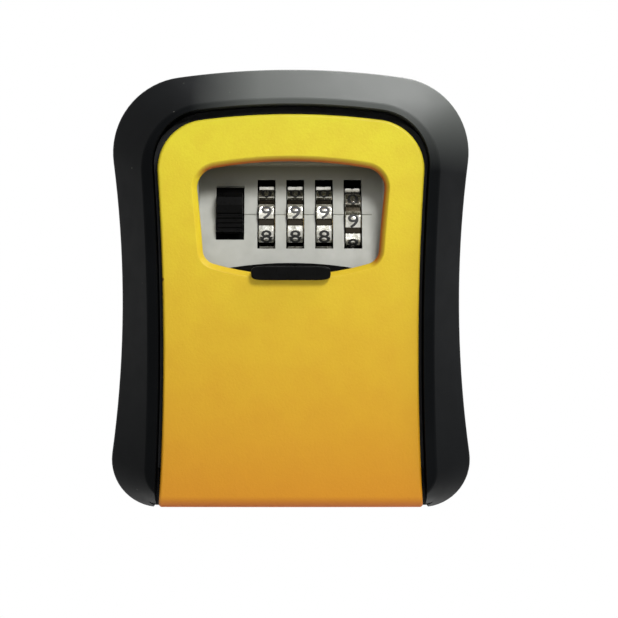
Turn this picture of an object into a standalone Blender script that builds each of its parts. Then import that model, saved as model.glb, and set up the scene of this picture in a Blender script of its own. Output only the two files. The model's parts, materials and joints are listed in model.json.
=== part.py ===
"""Wall-mounted key safe with a four-dial combination lock.

Frame: +X to the right as seen from the front, the front faces -Y, +Z is up. The origin is the
middle of the flat rear face, which sits on the wall. Lengths are metres, written with MM.
"""

import math
from dataclasses import dataclass, replace

import bmesh
import bpy
from mathutils import Matrix, Vector

MM = 0.001
GAP = 0.3 * MM             # resting or running gap between neighbouring pieces
SLIVER = 1.0 * MM          # how far a cutter runs past the face that it opens
MIN_FILLET = 0.4 * MM

# Overall sizes
HEIGHT = 115.4 * MM
DOOR_WAIST = 65.6 * MM     # door width at its narrowest
CASE_DEPTH = 31.0 * MM     # wall face to the rim of the case

TOP = HEIGHT / 2
BOTTOM = -HEIGHT / 2

# Door and the borders around it
BORDER_SIDE = 11.6 * MM    # door edge to the outside of the shroud, at the waist
BORDER_TOP = 12.9 * MM
DOOR_FOOT = 1.5 * MM       # foot of the shroud's legs to the door's lower edge
DOOR_STAND = 7.0 * MM      # case rim to the door's front face
DOOR_PLATE = 2.2 * MM
DOOR_EDGE = 0.8 * MM       # rounding of the door's front edge
DOOR_LOWER_EDGE = 2.6 * MM
FLANGE_INSET = 2.1 * MM
FLANGE_WALL = 1.6 * MM
FLANGE_DEPTH = 5.0 * MM
RIDGE_STAND = 1.5 * MM     # ridge of the shroud in front of the door

DOOR_TOP = TOP - BORDER_TOP
DOOR_BOTTOM = BOTTOM + DOOR_FOOT
RIM_Y = -CASE_DEPTH
DOOR_Y = RIM_Y - DOOR_STAND
DOOR_REAR_Y = DOOR_Y + DOOR_PLATE
RIDGE_Y = DOOR_Y - RIDGE_STAND

# Shroud
SHROUD_WALL = 2.0 * MM
SHROUD_REAR_Y = -0.5 * MM
OPENING_SIDE = 1.2 * MM    # clear gap between door and shroud
OPENING_TOP = 2.5 * MM
CREASE_SIDE = 3.9 * MM     # door edge to the crease between the land and the broad bevel
CREASE_TOP = 4.0 * MM
LAND_DROP = 1.0 * MM       # ridge to crease, in depth
BEVEL_DEPTH = 12.5 * MM    # ridge to the end of the broad bevel, in depth
INNER_WALL = 2.0 * MM
BOSS_HALF = 4.0 * MM
BOSS_Y = -16.0 * MM        # screw line of the shroud
BOSS_Z = 30.0 * MM

# Case
CASE_WALL = 2.5 * MM
BACK_WALL = 3.0 * MM
CASE_FOOT = 1.2 * MM
LIP_OUT = 0.9 * MM         # the lip the door closes on, outside and inside the door's edge
LIP_IN = 1.6 * MM
LIP_ROOT = 3.5 * MM        # how far behind the rim the lip starts
WALL_HOLE_RADIUS = 2.5 * MM
WALL_HOLE_X = 20.0 * MM
WALL_HOLE_Z = 28.0 * MM

# Door hinge
HINGE_BACK = 3.5 * MM      # pin axis behind the door plate
HINGE_UP = 3.0 * MM        # pin axis above the door's lower edge
PIN_RADIUS = 1.5 * MM
LUG_RADIUS = 3.0 * MM
LUG_END = 32.0 * MM
LUG_SIDE = 26.0 * MM       # inner end of the outer lugs
LUG_MIDDLE = 6.0 * MM      # half width of the middle lug
KNUCKLE_INNER = 15.0 * MM  # inner end of the door's knuckles
WEB_UNDER = 1.5 * MM       # the lug's web below and above the pin axis
SWING_CLEAR = 6.3 * MM     # radius kept free around the pin for the door's lower edge
LIP_HEM = 7.0 * MM         # the lip and the door's flange end this far above the pin
HINGE_Y = DOOR_REAR_Y + HINGE_BACK
HINGE_Z = DOOR_BOTTOM + HINGE_UP

# Window and shutter
WINDOW_DROP = 11.8 * MM    # door top to window top
WINDOW_HEIGHT = 30.7 * MM
WINDOW_SIDE = 22.2 * MM    # half width where the tapering sides would meet their waist
WINDOW_BEVEL = 1.4 * MM
SHUTTER_PLATE = 1.2 * MM
SHUTTER_HALF = 24.3 * MM
SHUTTER_HEIGHT = 33.0 * MM
SHUTTER_SHOW = 3.7 * MM    # how far the open shutter stands up into the window
SHUTTER_ARC = 100.0 * MM
SHUTTER_TRAVEL = 24.4 * MM
GRIP_HALF = 10.3 * MM
GRIP_HEIGHT = 4.4 * MM
GRIP_STEM = 1.3 * MM
GRIP_STEM_HALF = 7.0 * MM
GRIP_HEAD = 1.7 * MM
GRIP_CORNER = 1.3 * MM
GRIP_BELLY = 0.5 * MM

WINDOW_TOP = DOOR_TOP - WINDOW_DROP
WINDOW_BOTTOM = WINDOW_TOP - WINDOW_HEIGHT
SHUTTER_FRONT_Y = DOOR_REAR_Y + GAP
SHUTTER_REAR_Y = SHUTTER_FRONT_Y + SHUTTER_PLATE
SHUTTER_TOP = WINDOW_BOTTOM + SHUTTER_SHOW
SHUTTER_BOTTOM = SHUTTER_TOP - SHUTTER_HEIGHT

# Faceplate: a tray whose floor leans back, so that the dials look up at the user
TILT = math.radians(16.0)
TRAY_Y = SHUTTER_REAR_Y + GAP
TRAY_PLATE = 1.6 * MM
TRAY_HALF = 27.6 * MM
TRAY_LIFT = 2.3 * MM       # window bottom to the tray's lower edge
TRAY_HEIGHT = 35.8 * MM
RECESS_HALF = 24.0 * MM
RECESS_ROOF = 3.5 * MM     # tray's upper edge to the roof of the recess
TUB_WALL = 1.5 * MM
TRAY_BOTTOM = WINDOW_BOTTOM - TRAY_LIFT
TRAY_TOP = TRAY_BOTTOM + TRAY_HEIGHT

# Dials
DIAL_COUNT = 4
DIAL_PITCH = 7.55 * MM
DIAL_FIRST_X = -6.4 * MM
DIAL_RADIUS = 10.3 * MM
DIAL_WIDTH = 4.2 * MM
DIAL_SUNK = 8.6 * MM       # dial axis behind the tray's floor
DIAL_DROP = 13.6 * MM      # window top to the middle of the dial slots
DIAL_DEEP = 4.5 * MM       # tray front to the floor at the middle of the slots
DIAL_BORE = 3.9 * MM
DIGITS = 10
PAD_ANGLE = math.radians(22.0)
GROOVE_DEPTH = 1.2 * MM
SLOT_SIDE = 0.25 * MM
SLOT_LENGTH = 18.7 * MM
MARKER_HEIGHT = 0.35 * MM
MARKER_HALF = 0.35 * MM
MARKER_END = 5.0 * MM      # how far the marker line runs on past the last dial slot
LAST_DIAL_TURN = math.radians(13.0)   # the last dial stands between two digits

FLOOR_Y = TRAY_Y + DIAL_DEEP
SLOT_Z = WINDOW_TOP - DIAL_DROP
AXIS_Y = FLOOR_Y + DIAL_SUNK * math.cos(TILT)
AXIS_Z = SLOT_Z - DIAL_SUNK * math.sin(TILT)

# Code cams between the dials, on a spindle that slides sideways to set a new code
CAM_RADIUS = 6.7 * MM
CAM_DISC = 1.0 * MM
CAM_SETBACK = 0.4 * MM     # dial face to cam disc
CAM_SLEEVE = DIAL_BORE - GAP
SPINDLE_RADIUS = 2.0 * MM
GATE_HALF = 1.0 * MM
GATE_DEPTH = 3.1 * MM
DRIVE_LUG_IN = 5.0 * MM
DRIVE_LUG_OUT = 6.4 * MM
DRIVE_LUG_HALF = 1.2 * MM
DRIVE_LUG_REACH = 0.9 * MM
SPINDLE_PAST_LEFT = 0.6 * MM
SPINDLE_SHORT_RIGHT = 0.7 * MM
RESET_TRAVEL = 1.8 * MM
RESET_WIDTH = 2.2 * MM
RESET_HALF = 2.0 * MM
RESET_GRIP = 1.5 * MM
RESET_INSET = 3.0 * MM     # inside of the cover to the reset lever's middle

# Cover over the mechanism
COVER_WALL = 1.6 * MM
COVER_REAR_Y = -7.5 * MM
EAR_PLATE = 2.0 * MM
EAR_HALF = 2.2 * MM
TOP_EAR_X = 12.0 * MM
TOP_EAR_UP = 2.2 * MM
LOW_EAR_IN = 0.6 * MM
LOW_EAR_DOWN = 3.2 * MM
COVER_FRONT_Y = TRAY_Y + TRAY_PLATE + GAP
COVER_INSIDE = TRAY_HALF - COVER_WALL
COVER_INSIDE_Y = COVER_REAR_Y - COVER_WALL

# Screws
SCREW_RADIUS = 1.2 * MM
SCREW_HEAD = 2.1 * MM
SCREW_HEAD_HIGH = 1.3 * MM
SCREW_DRIVE = 0.9 * MM
SCREW_DRIVE_DEEP = 0.8 * MM
BOSS_RADIUS = 2.2 * MM

# Shutter guide
GUIDE_PLATE = 1.2 * MM
GUIDE_RAIL = 1.4 * MM
GUIDE_BELOW = 7.5 * MM     # shutter's lower edge to the guide's lower edge
GUIDE_SCREW_X = 14.0 * MM
GUIDE_SCREW_UP = 3.0 * MM
GUIDE_TOP_DROP = 6.0 * MM

# Release lever and latch plate, both given in the leaning frame of the dials
LEVER_FROM_DIAL = 9.5 * MM     # middle of the lever to the middle of the first dial
LEVER_UP = 0.45 * MM
LEVER_TRAVEL = 3.0 * MM
LEVER_SLOT_WIDTH = 7.4 * MM
LEVER_SLOT_LENGTH = 14.8 * MM
LEVER_WIDTH = 6.7 * MM
LEVER_LOW = 5.9 * MM           # middle of the slot to the lower and the upper end of the knob
LEVER_HIGH = 4.6 * MM
LEVER_TOE_HIGH = 1.8 * MM      # height of the ribbed toe and of the smooth hump
LEVER_HUMP_HIGH = 3.4 * MM
LEVER_RIBS = 4
LEVER_RIB_PITCH = 1.25 * MM
LEVER_RIB_DEEP = 0.35 * MM
LEVER_NECK_HALF = 2.0 * MM
LEVER_NECK_HIGH = 3.8 * MM
LEVER_FOOT_HALF = 4.5 * MM
LEVER_FOOT_LOW = 10.5 * MM
LEVER_FOOT_HIGH = 11.0 * MM
LEVER_FOOT_PLATE = 1.2 * MM
LEVER_POST_LOW = 6.5 * MM
LEVER_POST_HIGH = 10.5 * MM
SPRING_SEAT = 3.6 * MM
LATCH_PLATE = 1.2 * MM
LATCH_LEG_HALF = 3.5 * MM
LATCH_LEG_LOW = 5.6 * MM
LATCH_BAR = 2.5 * MM
LATCH_BAR_CLEAR = 0.5 * MM
FINGER_WIDTH = 0.9 * MM
TONGUE_HALF = 5.0 * MM
TONGUE_TOP = 24.4 * MM         # dial axis to the tip of the tongue
SPRING_RADIUS = 1.5 * MM
SPRING_WIRE = 0.25 * MM
SPRING_TURNS = 5

# Keeper in the roof of the case
KEEPER_HALF = 9.0 * MM
KEEPER_PLATE = 1.5 * MM
KEEPER_FOOT = 9.0 * MM
KEEPER_GAP = 0.8 * MM

# Click spring under the dials
CLICK_LEAF = 0.45 * MM
CLICK_BASE = 9.0 * MM
CLICK_LEAF_WIDTH = 3.2 * MM


@dataclass(frozen=True)
class Outline:
    """Outline in the XZ plane, symmetric about Z and made of arcs that run into each other.

    The crown and the base are arcs about the Z axis, each side is a hollow arc that is narrowest
    at the waist, and fillets join them.
    """

    top: float
    crown: float
    corner: float
    waist: float
    waist_z: float
    side: float
    bottom: float
    base: float
    heel: float

    def grown(self, margin):
        """The same outline, moved outwards by margin all round."""
        return Outline(
            self.top + margin, self.crown + margin, max(self.corner + margin, MIN_FILLET),
            self.waist + margin, self.waist_z, self.side - margin,
            self.bottom - margin, self.base + margin, max(self.heel + margin, MIN_FILLET))

    def side_x(self, z):
        """Half width of the side arc at height z."""
        return self.waist + self.side - math.sqrt(self.side ** 2 - (z - self.waist_z) ** 2)

    def points(self):
        """Points round the outline, from the middle of the crown clockwise."""
        crown_at = Vector((0.0, self.top - self.crown))
        base_at = Vector((0.0, self.bottom + self.base))
        side_at = Vector((self.waist + self.side, self.waist_z))
        corner_at = meeting(crown_at, self.crown - self.corner, side_at, self.side + self.corner, 1)
        heel_at = meeting(base_at, self.base - self.heel, side_at, self.side + self.heel, -1)
        half = []
        half += arc(crown_at, self.crown, math.pi / 2, bearing(crown_at, corner_at), 6)
        half += arc(corner_at, self.corner, bearing(crown_at, corner_at),
                    bearing(corner_at, side_at), 6)
        half += arc(side_at, self.side, bearing(side_at, corner_at) % math.tau,
                    bearing(side_at, heel_at) % math.tau, 8)
        half += arc(heel_at, self.heel, bearing(heel_at, side_at), bearing(base_at, heel_at), 5)
        half += arc(base_at, self.base, bearing(base_at, heel_at), -math.pi / 2, 4)
        lowest = Vector((0.0, self.bottom))
        mirrored = [Vector((-point.x, point.y)) for point in reversed(half[1:])]
        return half + [lowest] + mirrored


def bearing(start, end):
    """Angle of the direction from start to end, in the outline's plane."""
    return math.atan2(end.y - start.y, end.x - start.x)


def meeting(first, first_radius, second, second_radius, up):
    """Where two circles meet: the upper point if up is 1, the lower one if it is -1."""
    line = second - first
    along = (first_radius ** 2 - second_radius ** 2 + line.length_squared) / (2 * line.length)
    across = math.sqrt(first_radius ** 2 - along ** 2)
    line.normalize()
    foot = first + line * along
    offset = Vector((-line.y, line.x)) * across
    return max((foot + offset, foot - offset), key=lambda point: up * point.y)


def arc(centre, radius, start, end, steps):
    """Points on an arc, without its last one."""
    angles = [start + (end - start) * step / steps for step in range(steps)]
    return [centre + radius * Vector((math.cos(angle), math.sin(angle))) for angle in angles]


FLAT = 20.0                # radius of a base that is as good as straight

SHELL = Outline(TOP, 197 * MM, 16.85 * MM, DOOR_WAIST / 2 + BORDER_SIDE, -3.7 * MM, 290 * MM,
                BOTTOM, FLAT, 10.8 * MM)
DOOR = Outline(DOOR_TOP, 142 * MM, 9.5 * MM, DOOR_WAIST / 2, -16.0 * MM, 700 * MM,
               DOOR_BOTTOM, FLAT, 0.8 * MM)
OPENING = replace(DOOR.grown(OPENING_SIDE), top=DOOR_TOP + OPENING_TOP, heel=4.0 * MM)
CREASE = replace(DOOR.grown(CREASE_SIDE), top=DOOR_TOP + CREASE_TOP,
                 bottom=BOTTOM + 3.2 * MM, heel=7.5 * MM)
CASE = replace(OPENING.grown(INNER_WALL), bottom=BOTTOM + CASE_FOOT, heel=2.0 * MM)
WINDOW = Outline(WINDOW_TOP, 115 * MM, 6.5 * MM, WINDOW_SIDE, -16.2 * MM, 372 * MM,
                 WINDOW_BOTTOM, 72 * MM, 5.0 * MM)


# ---------------------------------------------------------------- making solids

def clear_scene():
    """Remove every object that is in the scene."""
    for item in list(bpy.data.objects):
        bpy.data.objects.remove(item, do_unlink=True)


def paint(name, colour, roughness, metallic):
    """A Principled material."""
    material = bpy.data.materials.new(name)
    material.use_nodes = True
    shader = material.node_tree.nodes["Principled BSDF"]
    shader.inputs["Base Color"].default_value = (*colour, 1.0)
    shader.inputs["Roughness"].default_value = roughness
    shader.inputs["Metallic"].default_value = metallic
    return material


def solid_from(name, mesh):
    """An object from a bmesh of one closed body, with its faces turned outwards."""
    bmesh.ops.recalc_face_normals(mesh, faces=mesh.faces)
    data = bpy.data.meshes.new(name)
    mesh.to_mesh(data)
    mesh.free()
    item = bpy.data.objects.new(name, data)
    bpy.context.scene.collection.objects.link(item)
    return item


def loft(name, loops):
    """A solid through closed loops that have the same number of points."""
    mesh = bmesh.new()
    rings = [[mesh.verts.new(point) for point in loop] for loop in loops]
    count = len(rings[0])
    for lower, upper in zip(rings, rings[1:]):
        for index in range(count):
            following = (index + 1) % count
            mesh.faces.new((lower[index], lower[following], upper[following], upper[index]))
    mesh.faces.new(rings[0])
    mesh.faces.new(list(reversed(rings[-1])))
    return solid_from(name, mesh)


def at_depth(outline, depth):
    """The points of an outline at one depth."""
    return [Vector((point.x, depth, point.y)) for point in outline.points()]


def slab(name, outline, front, rear):
    """An outline given thickness between two depths."""
    return loft(name, [at_depth(outline, front), at_depth(outline, rear)])


def bar(name, profile, left, right):
    """A profile of (y, z) points drawn out along X."""
    return loft(name, [[Vector((x, y, z)) for y, z in profile] for x in (left, right)])


def block(name, x_range, y_range, z_range):
    """A rectangular block."""
    (front, rear), (low, high) = y_range, z_range
    return bar(name, [(front, low), (rear, low), (rear, high), (front, high)], *x_range)


def rod(name, start, end, radius, sides=20):
    """A round rod from start to end."""
    start, end = Vector(start), Vector(end)
    turn = (end - start).to_track_quat("Z", "Y")
    ring = [turn @ Vector((radius * math.cos(math.tau * side / sides),
                           radius * math.sin(math.tau * side / sides), 0.0))
            for side in range(sides)]
    return loft(name, [[start + point for point in ring], [end + point for point in ring]])


def tool(item):
    """Mark an object as one that only shapes another."""
    item.hide_render = True
    item.display_type = "WIRE"
    return item


def combine(item, other, operation):
    """Add a Boolean with another object."""
    boolean = item.modifiers.new(other.name, "BOOLEAN")
    boolean.operation = operation
    boolean.solver = "EXACT"
    boolean.object = tool(other)


def cut(item, *cutters):
    """Take cutters away from an object."""
    for cutter in cutters:
        combine(item, cutter, "DIFFERENCE")


def fuse(item, *others):
    """Grow others onto an object."""
    for other in others:
        combine(item, other, "UNION")


def pivot(name, place, lean=0.0):
    """An empty on a joint's axis."""
    empty = bpy.data.objects.new(name, None)
    empty.location = place
    empty.rotation_euler = (lean, 0.0, 0.0)
    empty.empty_display_size = 5 * MM
    bpy.context.scene.collection.objects.link(empty)
    return empty


def dress(item, material, smooth=30.0):
    """Give a finished piece its material and its shading."""
    item.data.materials.append(material)
    item.data.shade_smooth()
    item.data.set_sharp_from_angle(angle=math.radians(smooth))
    return item


def hang(parent, *items):
    """Parent pieces that were modelled in world places, keeping them there."""
    frame = Matrix.Translation(parent.location)
    for item in items:
        item.data.transform(frame.inverted())
        item.parent = parent


def mount(parent, *items):
    """Parent pieces that were modelled in the parent's own frame, with what shapes them."""
    for item in items:
        item.parent = parent
        mount(parent, *[boolean.object for boolean in item.modifiers])


def leaning(y, z):
    """World depth and height of a place in the leaning frame of the dials."""
    return (AXIS_Y + y * math.cos(TILT) + z * math.sin(TILT),
            AXIS_Z - y * math.sin(TILT) + z * math.cos(TILT))


def dial_x(index):
    """Middle of a dial, counted from 0 on the left."""
    return DIAL_FIRST_X + index * DIAL_PITCH


# ---------------------------------------------------------------- the case on the wall

def case_body(material):
    """Die-cast case: back wall, side walls, the lip the door closes on, and the hinge lugs."""
    item = slab("case_body", CASE, RIM_Y, 0.0)
    cut(item, slab("case_hollow", CASE.grown(-CASE_WALL), RIM_Y - SLIVER, -BACK_WALL))
    lip = slab("case_lip", DOOR.grown(LIP_OUT), DOOR_REAR_Y + GAP, RIM_Y + LIP_ROOT)
    cut(lip, slab("case_lip_hollow", DOOR.grown(-LIP_IN), RIDGE_Y, 0.0))
    fuse(item, lip)
    bridge = slab("case_bridge", CASE.grown(-CASE_WALL / 2), RIM_Y, RIM_Y + LIP_ROOT)
    cut(bridge, slab("case_bridge_hollow", DOOR.grown(-LIP_IN), RIDGE_Y, 0.0))
    fuse(item, bridge)
    wide = CASE.waist * 2
    cut(item, block("case_hem", (-DOOR.waist - LIP_OUT - 2 * GAP, DOOR.waist + LIP_OUT + 2 * GAP),
                    (RIDGE_Y, HINGE_Y + SWING_CLEAR), (BOTTOM - SLIVER, HINGE_Z + LIP_HEM)))
    cut(item, block("lip_hem", (-wide, wide), (RIDGE_Y, RIM_Y), (BOTTOM - SLIVER, HINGE_Z + LIP_HEM)))
    for name, left, right in lug_spans():
        lug = rod(f"{name}_eye", (left, HINGE_Y, HINGE_Z), (right, HINGE_Y, HINGE_Z), LUG_RADIUS)
        web = block(f"{name}_web", (left, right),
                    (HINGE_Y, HINGE_Y + SWING_CLEAR + 2 * CASE_WALL),
                    (HINGE_Z - WEB_UNDER, HINGE_Z + LUG_RADIUS))
        fuse(item, lug, web)
    cut(item, rod("lug_bore", (-LUG_END - SLIVER, HINGE_Y, HINGE_Z),
                  (LUG_END + SLIVER, HINGE_Y, HINGE_Z), PIN_RADIUS + GAP))
    for name, x, z in corners(WALL_HOLE_X, WALL_HOLE_Z):
        cut(item, rod(f"wall_hole_{name}", (x, -BACK_WALL - SLIVER, z), (x, SLIVER, z),
                      WALL_HOLE_RADIUS))
    for name, side, z in shroud_screw_places():
        x = side * CASE.side_x(z)
        cut(item, rod(f"case_{name}", (x - side * 3 * CASE_WALL, BOSS_Y, z),
                      (x + side * CASE_WALL, BOSS_Y, z), SCREW_RADIUS + GAP))
    return dress(item, material)


def lug_spans():
    """Name and X range of each hinge lug of the case."""
    return [("left_lug", -LUG_END, -LUG_SIDE), ("middle_lug", -LUG_MIDDLE, LUG_MIDDLE),
            ("right_lug", LUG_SIDE, LUG_END)]


def corners(x, z):
    """Name, X and Z of the four corners of a rectangle about the origin."""
    return [("a", -x, z), ("b", x, z), ("c", -x, -z), ("d", x, -z)]


def shroud_screw_places():
    """Name, side and height of each screw between case and shroud."""
    return [(f"shroud_screw_{number}", math.copysign(1, x), z)
            for number, (_, x, z) in enumerate(corners(1, BOSS_Z), start=1)]


def shroud(material):
    """Moulded surround: a hollow channel round the case and the door, open at the rear."""
    crease_y = RIDGE_Y + LAND_DROP
    bevel_y = RIDGE_Y + BEVEL_DEPTH
    ridge = replace(OPENING, bottom=CREASE.bottom + 2 * MM)
    item = loft("shroud", [at_depth(SHELL, SHROUD_REAR_Y), at_depth(SHELL, bevel_y),
                           at_depth(CREASE, crease_y), at_depth(ridge, RIDGE_Y)])
    inside = SHELL.grown(-SHROUD_WALL)
    channel = loft("shroud_channel", [at_depth(inside, SLIVER), at_depth(inside, bevel_y + GAP),
                                      at_depth(CREASE.grown(-MIN_FILLET), crease_y + SHROUD_WALL)])
    cut(channel, slab("shroud_core", replace(OPENING.grown(INNER_WALL), bottom=BOTTOM * 2),
                      RIDGE_Y - SLIVER, 2 * SLIVER))
    cut(item, channel)
    for name, side, z in shroud_screw_places():
        inner, outer = side * CASE.side_x(z), side * (SHELL.side_x(z) - SHROUD_WALL / 2)
        fuse(item, block(f"{name}_boss", sorted((inner, outer)),
                         (BOSS_Y - BOSS_HALF, BOSS_Y + BOSS_HALF), (z - BOSS_HALF, z + BOSS_HALF)))
    cut(item, slab("shroud_seat", CASE.grown(GAP), RIM_Y - GAP, SLIVER))
    cut(item, slab("shroud_opening", replace(OPENING, bottom=BOTTOM * 2), RIDGE_Y - SLIVER, SLIVER))
    for name, side, z in shroud_screw_places():
        x = side * CASE.side_x(z)
        cut(item, rod(f"{name}_pilot", (x - side * SLIVER, BOSS_Y, z),
                      (x + side * 4.5 * MM, BOSS_Y, z), SCREW_RADIUS + GAP))
    return dress(item, material)


def hinge_pin(material):
    """The pin that the door turns on."""
    return dress(rod("hinge_pin", (-LUG_END, HINGE_Y, HINGE_Z), (LUG_END, HINGE_Y, HINGE_Z),
                     PIN_RADIUS), material)


def latch_keeper(material):
    """Angle in the roof of the case that the latch's tongue stands under."""
    roof = CASE.top - CASE_WALL - GAP - (CASE.crown - math.sqrt(CASE.crown ** 2 - KEEPER_HALF ** 2))
    tip_y, tip_z = leaning(0.0, TONGUE_TOP)
    half, lower = KEEPER_PLATE / 2, tip_z + KEEPER_GAP
    profile = [(tip_y - half, lower), (tip_y + half, lower), (tip_y + half, roof - KEEPER_PLATE),
               (tip_y + KEEPER_FOOT, roof - KEEPER_PLATE), (tip_y + KEEPER_FOOT, roof),
               (tip_y - half, roof)]
    return dress(bar("latch_keeper", profile, -KEEPER_HALF, KEEPER_HALF), material)


def screw(name, material, seat, direction, length):
    """Pan-head screw: seat is the middle of the head's underside, the shank runs along direction."""
    seat, direction = Vector(seat), Vector(direction)
    item = rod(name, seat - direction * SCREW_HEAD_HIGH, seat, SCREW_HEAD, 16)
    fuse(item, rod(f"{name}_shank", seat - direction * SCREW_HEAD_HIGH / 2,
                   seat + direction * length, SCREW_RADIUS, 12))
    top = seat - direction * SCREW_HEAD_HIGH
    cut(item, rod(f"{name}_drive", top - direction * SCREW_DRIVE_DEEP,
                  top + direction * SCREW_DRIVE_DEEP, SCREW_DRIVE, 6))
    return dress(item, material)


def shroud_screws(material):
    """Screws from inside the case into the shroud's bosses."""
    return [screw(name, material, (side * (CASE.side_x(z) - CASE_WALL - GAP - MIN_FILLET), BOSS_Y, z),
                  (side, 0, 0), 6.5 * MM)
            for name, side, z in shroud_screw_places()]


# ---------------------------------------------------------------- the door

def door_panel(material):
    """The door: a plate with a window, a flange round its rear, knuckles and screw bosses."""
    lower = [0.0, 0.7 * MM, 1.6 * MM]
    inset = [0.0, DOOR_EDGE * 0.3, DOOR_EDGE]
    depth = [DOOR_Y + DOOR_EDGE, DOOR_Y + DOOR_EDGE * 0.3, DOOR_Y]
    loops = [at_depth(DOOR, DOOR_REAR_Y)]
    for step_lower, step_inset, step_y in zip(lower, inset, depth):
        edge = DOOR.grown(-step_inset)
        loops.append(at_depth(replace(edge, bottom=edge.bottom + step_lower), step_y))
    item = loft("door_panel", loops)
    flange = slab("door_flange", DOOR.grown(-FLANGE_INSET), DOOR_REAR_Y - DOOR_PLATE / 2,
                  DOOR_REAR_Y + FLANGE_DEPTH)
    cut(flange, slab("door_flange_hollow", DOOR.grown(-FLANGE_INSET - FLANGE_WALL),
                     RIDGE_Y, 0.0))
    cut(flange, block("door_flange_hem", (-DOOR_WAIST, DOOR_WAIST), (RIDGE_Y, 0.0),
                      (BOTTOM - SLIVER, HINGE_Z + LUG_RADIUS + WEB_UNDER)))
    fuse(item, flange)
    for name, left, right in knuckle_spans():
        eye = rod(f"{name}_eye", (left, HINGE_Y, HINGE_Z), (right, HINGE_Y, HINGE_Z), LUG_RADIUS)
        web = block(f"{name}_web", (left, right), (DOOR_REAR_Y - DOOR_PLATE / 2, HINGE_Y),
                    (HINGE_Z - WEB_UNDER, HINGE_Z + LUG_RADIUS))
        fuse(item, eye, web)
    cut(item, rod("knuckle_bore", (-LUG_SIDE, HINGE_Y, HINGE_Z), (LUG_SIDE, HINGE_Y, HINGE_Z),
                  PIN_RADIUS + GAP))
    for name, x, z in cover_screw_places():
        fuse(item, rod(f"{name}_boss", (x, DOOR_REAR_Y - DOOR_PLATE / 2, z),
                       (x, COVER_FRONT_Y - GAP, z), BOSS_RADIUS, 16))
    for name, x, z in guide_screw_places():
        fuse(item, rod(f"{name}_boss", (x, DOOR_REAR_Y - DOOR_PLATE / 2, z),
                       (x, TRAY_Y - GAP, z), BOSS_RADIUS, 16))
    for name, x, z in cover_screw_places() + guide_screw_places():
        cut(item, rod(f"{name}_pilot", (x, DOOR_REAR_Y - MIN_FILLET, z), (x, 0.0, z),
                      SCREW_RADIUS + GAP, 12))
    bevel = loft("window_cut", [at_depth(WINDOW.grown(SLIVER), DOOR_Y - SLIVER),
                                at_depth(WINDOW.grown(-WINDOW_BEVEL), DOOR_Y + WINDOW_BEVEL),
                                at_depth(WINDOW.grown(-WINDOW_BEVEL), DOOR_REAR_Y + SLIVER)])
    cut(item, bevel)
    return dress(item, material)


def knuckle_spans():
    """Name and X range of each knuckle of the door."""
    return [("left_knuckle", -LUG_SIDE + GAP, -KNUCKLE_INNER),
            ("right_knuckle", KNUCKLE_INNER, LUG_SIDE - GAP)]


def cover_screw_places():
    """Name, X and Z of each screw between cover and door."""
    low_x, low_z = TRAY_HALF - LOW_EAR_IN, TRAY_BOTTOM - LOW_EAR_DOWN
    top_z = TRAY_TOP + TOP_EAR_UP
    places = [(-TOP_EAR_X, top_z), (TOP_EAR_X, top_z), (-low_x, low_z), (low_x, low_z)]
    return [(f"cover_screw_{number}", x, z) for number, (x, z) in enumerate(places, start=1)]


def guide_screw_places():
    """Name, X and Z of each screw between shutter guide and door."""
    z = SHUTTER_BOTTOM - GUIDE_BELOW + GUIDE_SCREW_UP
    return [("guide_screw_1", -GUIDE_SCREW_X, z), ("guide_screw_2", GUIDE_SCREW_X, z)]


def floor_depth(z, behind=0.0):
    """Depth of the tray's leaning floor at height z, or of the plane some way behind it."""
    return FLOOR_Y - (SLOT_Z - z) * math.tan(TILT) + behind / math.cos(TILT)


def floor_height(y, behind=0.0):
    """Height at which the leaning floor, or the plane behind it, has depth y."""
    return SLOT_Z + (y - FLOOR_Y - behind / math.cos(TILT)) / math.tan(TILT)


def faceplate(material, frame):
    """Tray behind the window, whose leaning floor has the slots for the dials and the lever."""
    flange_rear, roof = TRAY_Y + TRAY_PLATE, TRAY_TOP - RECESS_ROOF
    tub_top = roof + TUB_WALL
    item = block("faceplate", (-TRAY_HALF, TRAY_HALF), (TRAY_Y, flange_rear), (TRAY_BOTTOM, TRAY_TOP))
    profile = [(TRAY_Y + TRAY_PLATE / 2, floor_height(flange_rear, TUB_WALL)),
               (flange_rear, floor_height(flange_rear, TUB_WALL)),
               (floor_depth(tub_top, TUB_WALL), tub_top), (TRAY_Y + TRAY_PLATE / 2, tub_top)]
    fuse(item, bar("tray_tub", profile, -RECESS_HALF - TUB_WALL, RECESS_HALF + TUB_WALL))
    front = TRAY_Y - SLIVER
    recess = [(front, floor_height(front)), (floor_depth(roof), roof), (front, roof)]
    cut(item, bar("tray_recess", recess, -RECESS_HALF, RECESS_HALF))
    marker_start = lever_x() + LEVER_SLOT_WIDTH / 2 - GAP
    marker_end = dial_x(DIAL_COUNT - 1) + MARKER_END
    half, high = MARKER_HALF, MARKER_HEIGHT
    ridge = [leaning(-DIAL_SUNK + high, -half), leaning(-DIAL_SUNK + high, half),
             leaning(-DIAL_SUNK - high, 0.0)]
    fuse(item, bar("marker_line", ridge, marker_start, marker_end))
    slots = [("lever_slot", lever_x(), LEVER_SLOT_WIDTH / 2, LEVER_SLOT_LENGTH / 2, LEVER_UP)]
    slots += [(f"dial_slot_{index + 1}", dial_x(index), DIAL_WIDTH / 2 + SLOT_SIDE,
               SLOT_LENGTH / 2, 0.0) for index in range(DIAL_COUNT)]
    for name, x, half_width, half_length, z in slots:
        slot = block(name, (x - half_width, x + half_width),
                     (-DIAL_SUNK - SLIVER, -DIAL_SUNK + 3 * TUB_WALL),
                     (z - half_length, z + half_length))
        mount(frame, slot)
        cut(item, slot)
    return dress(item, material)


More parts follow.
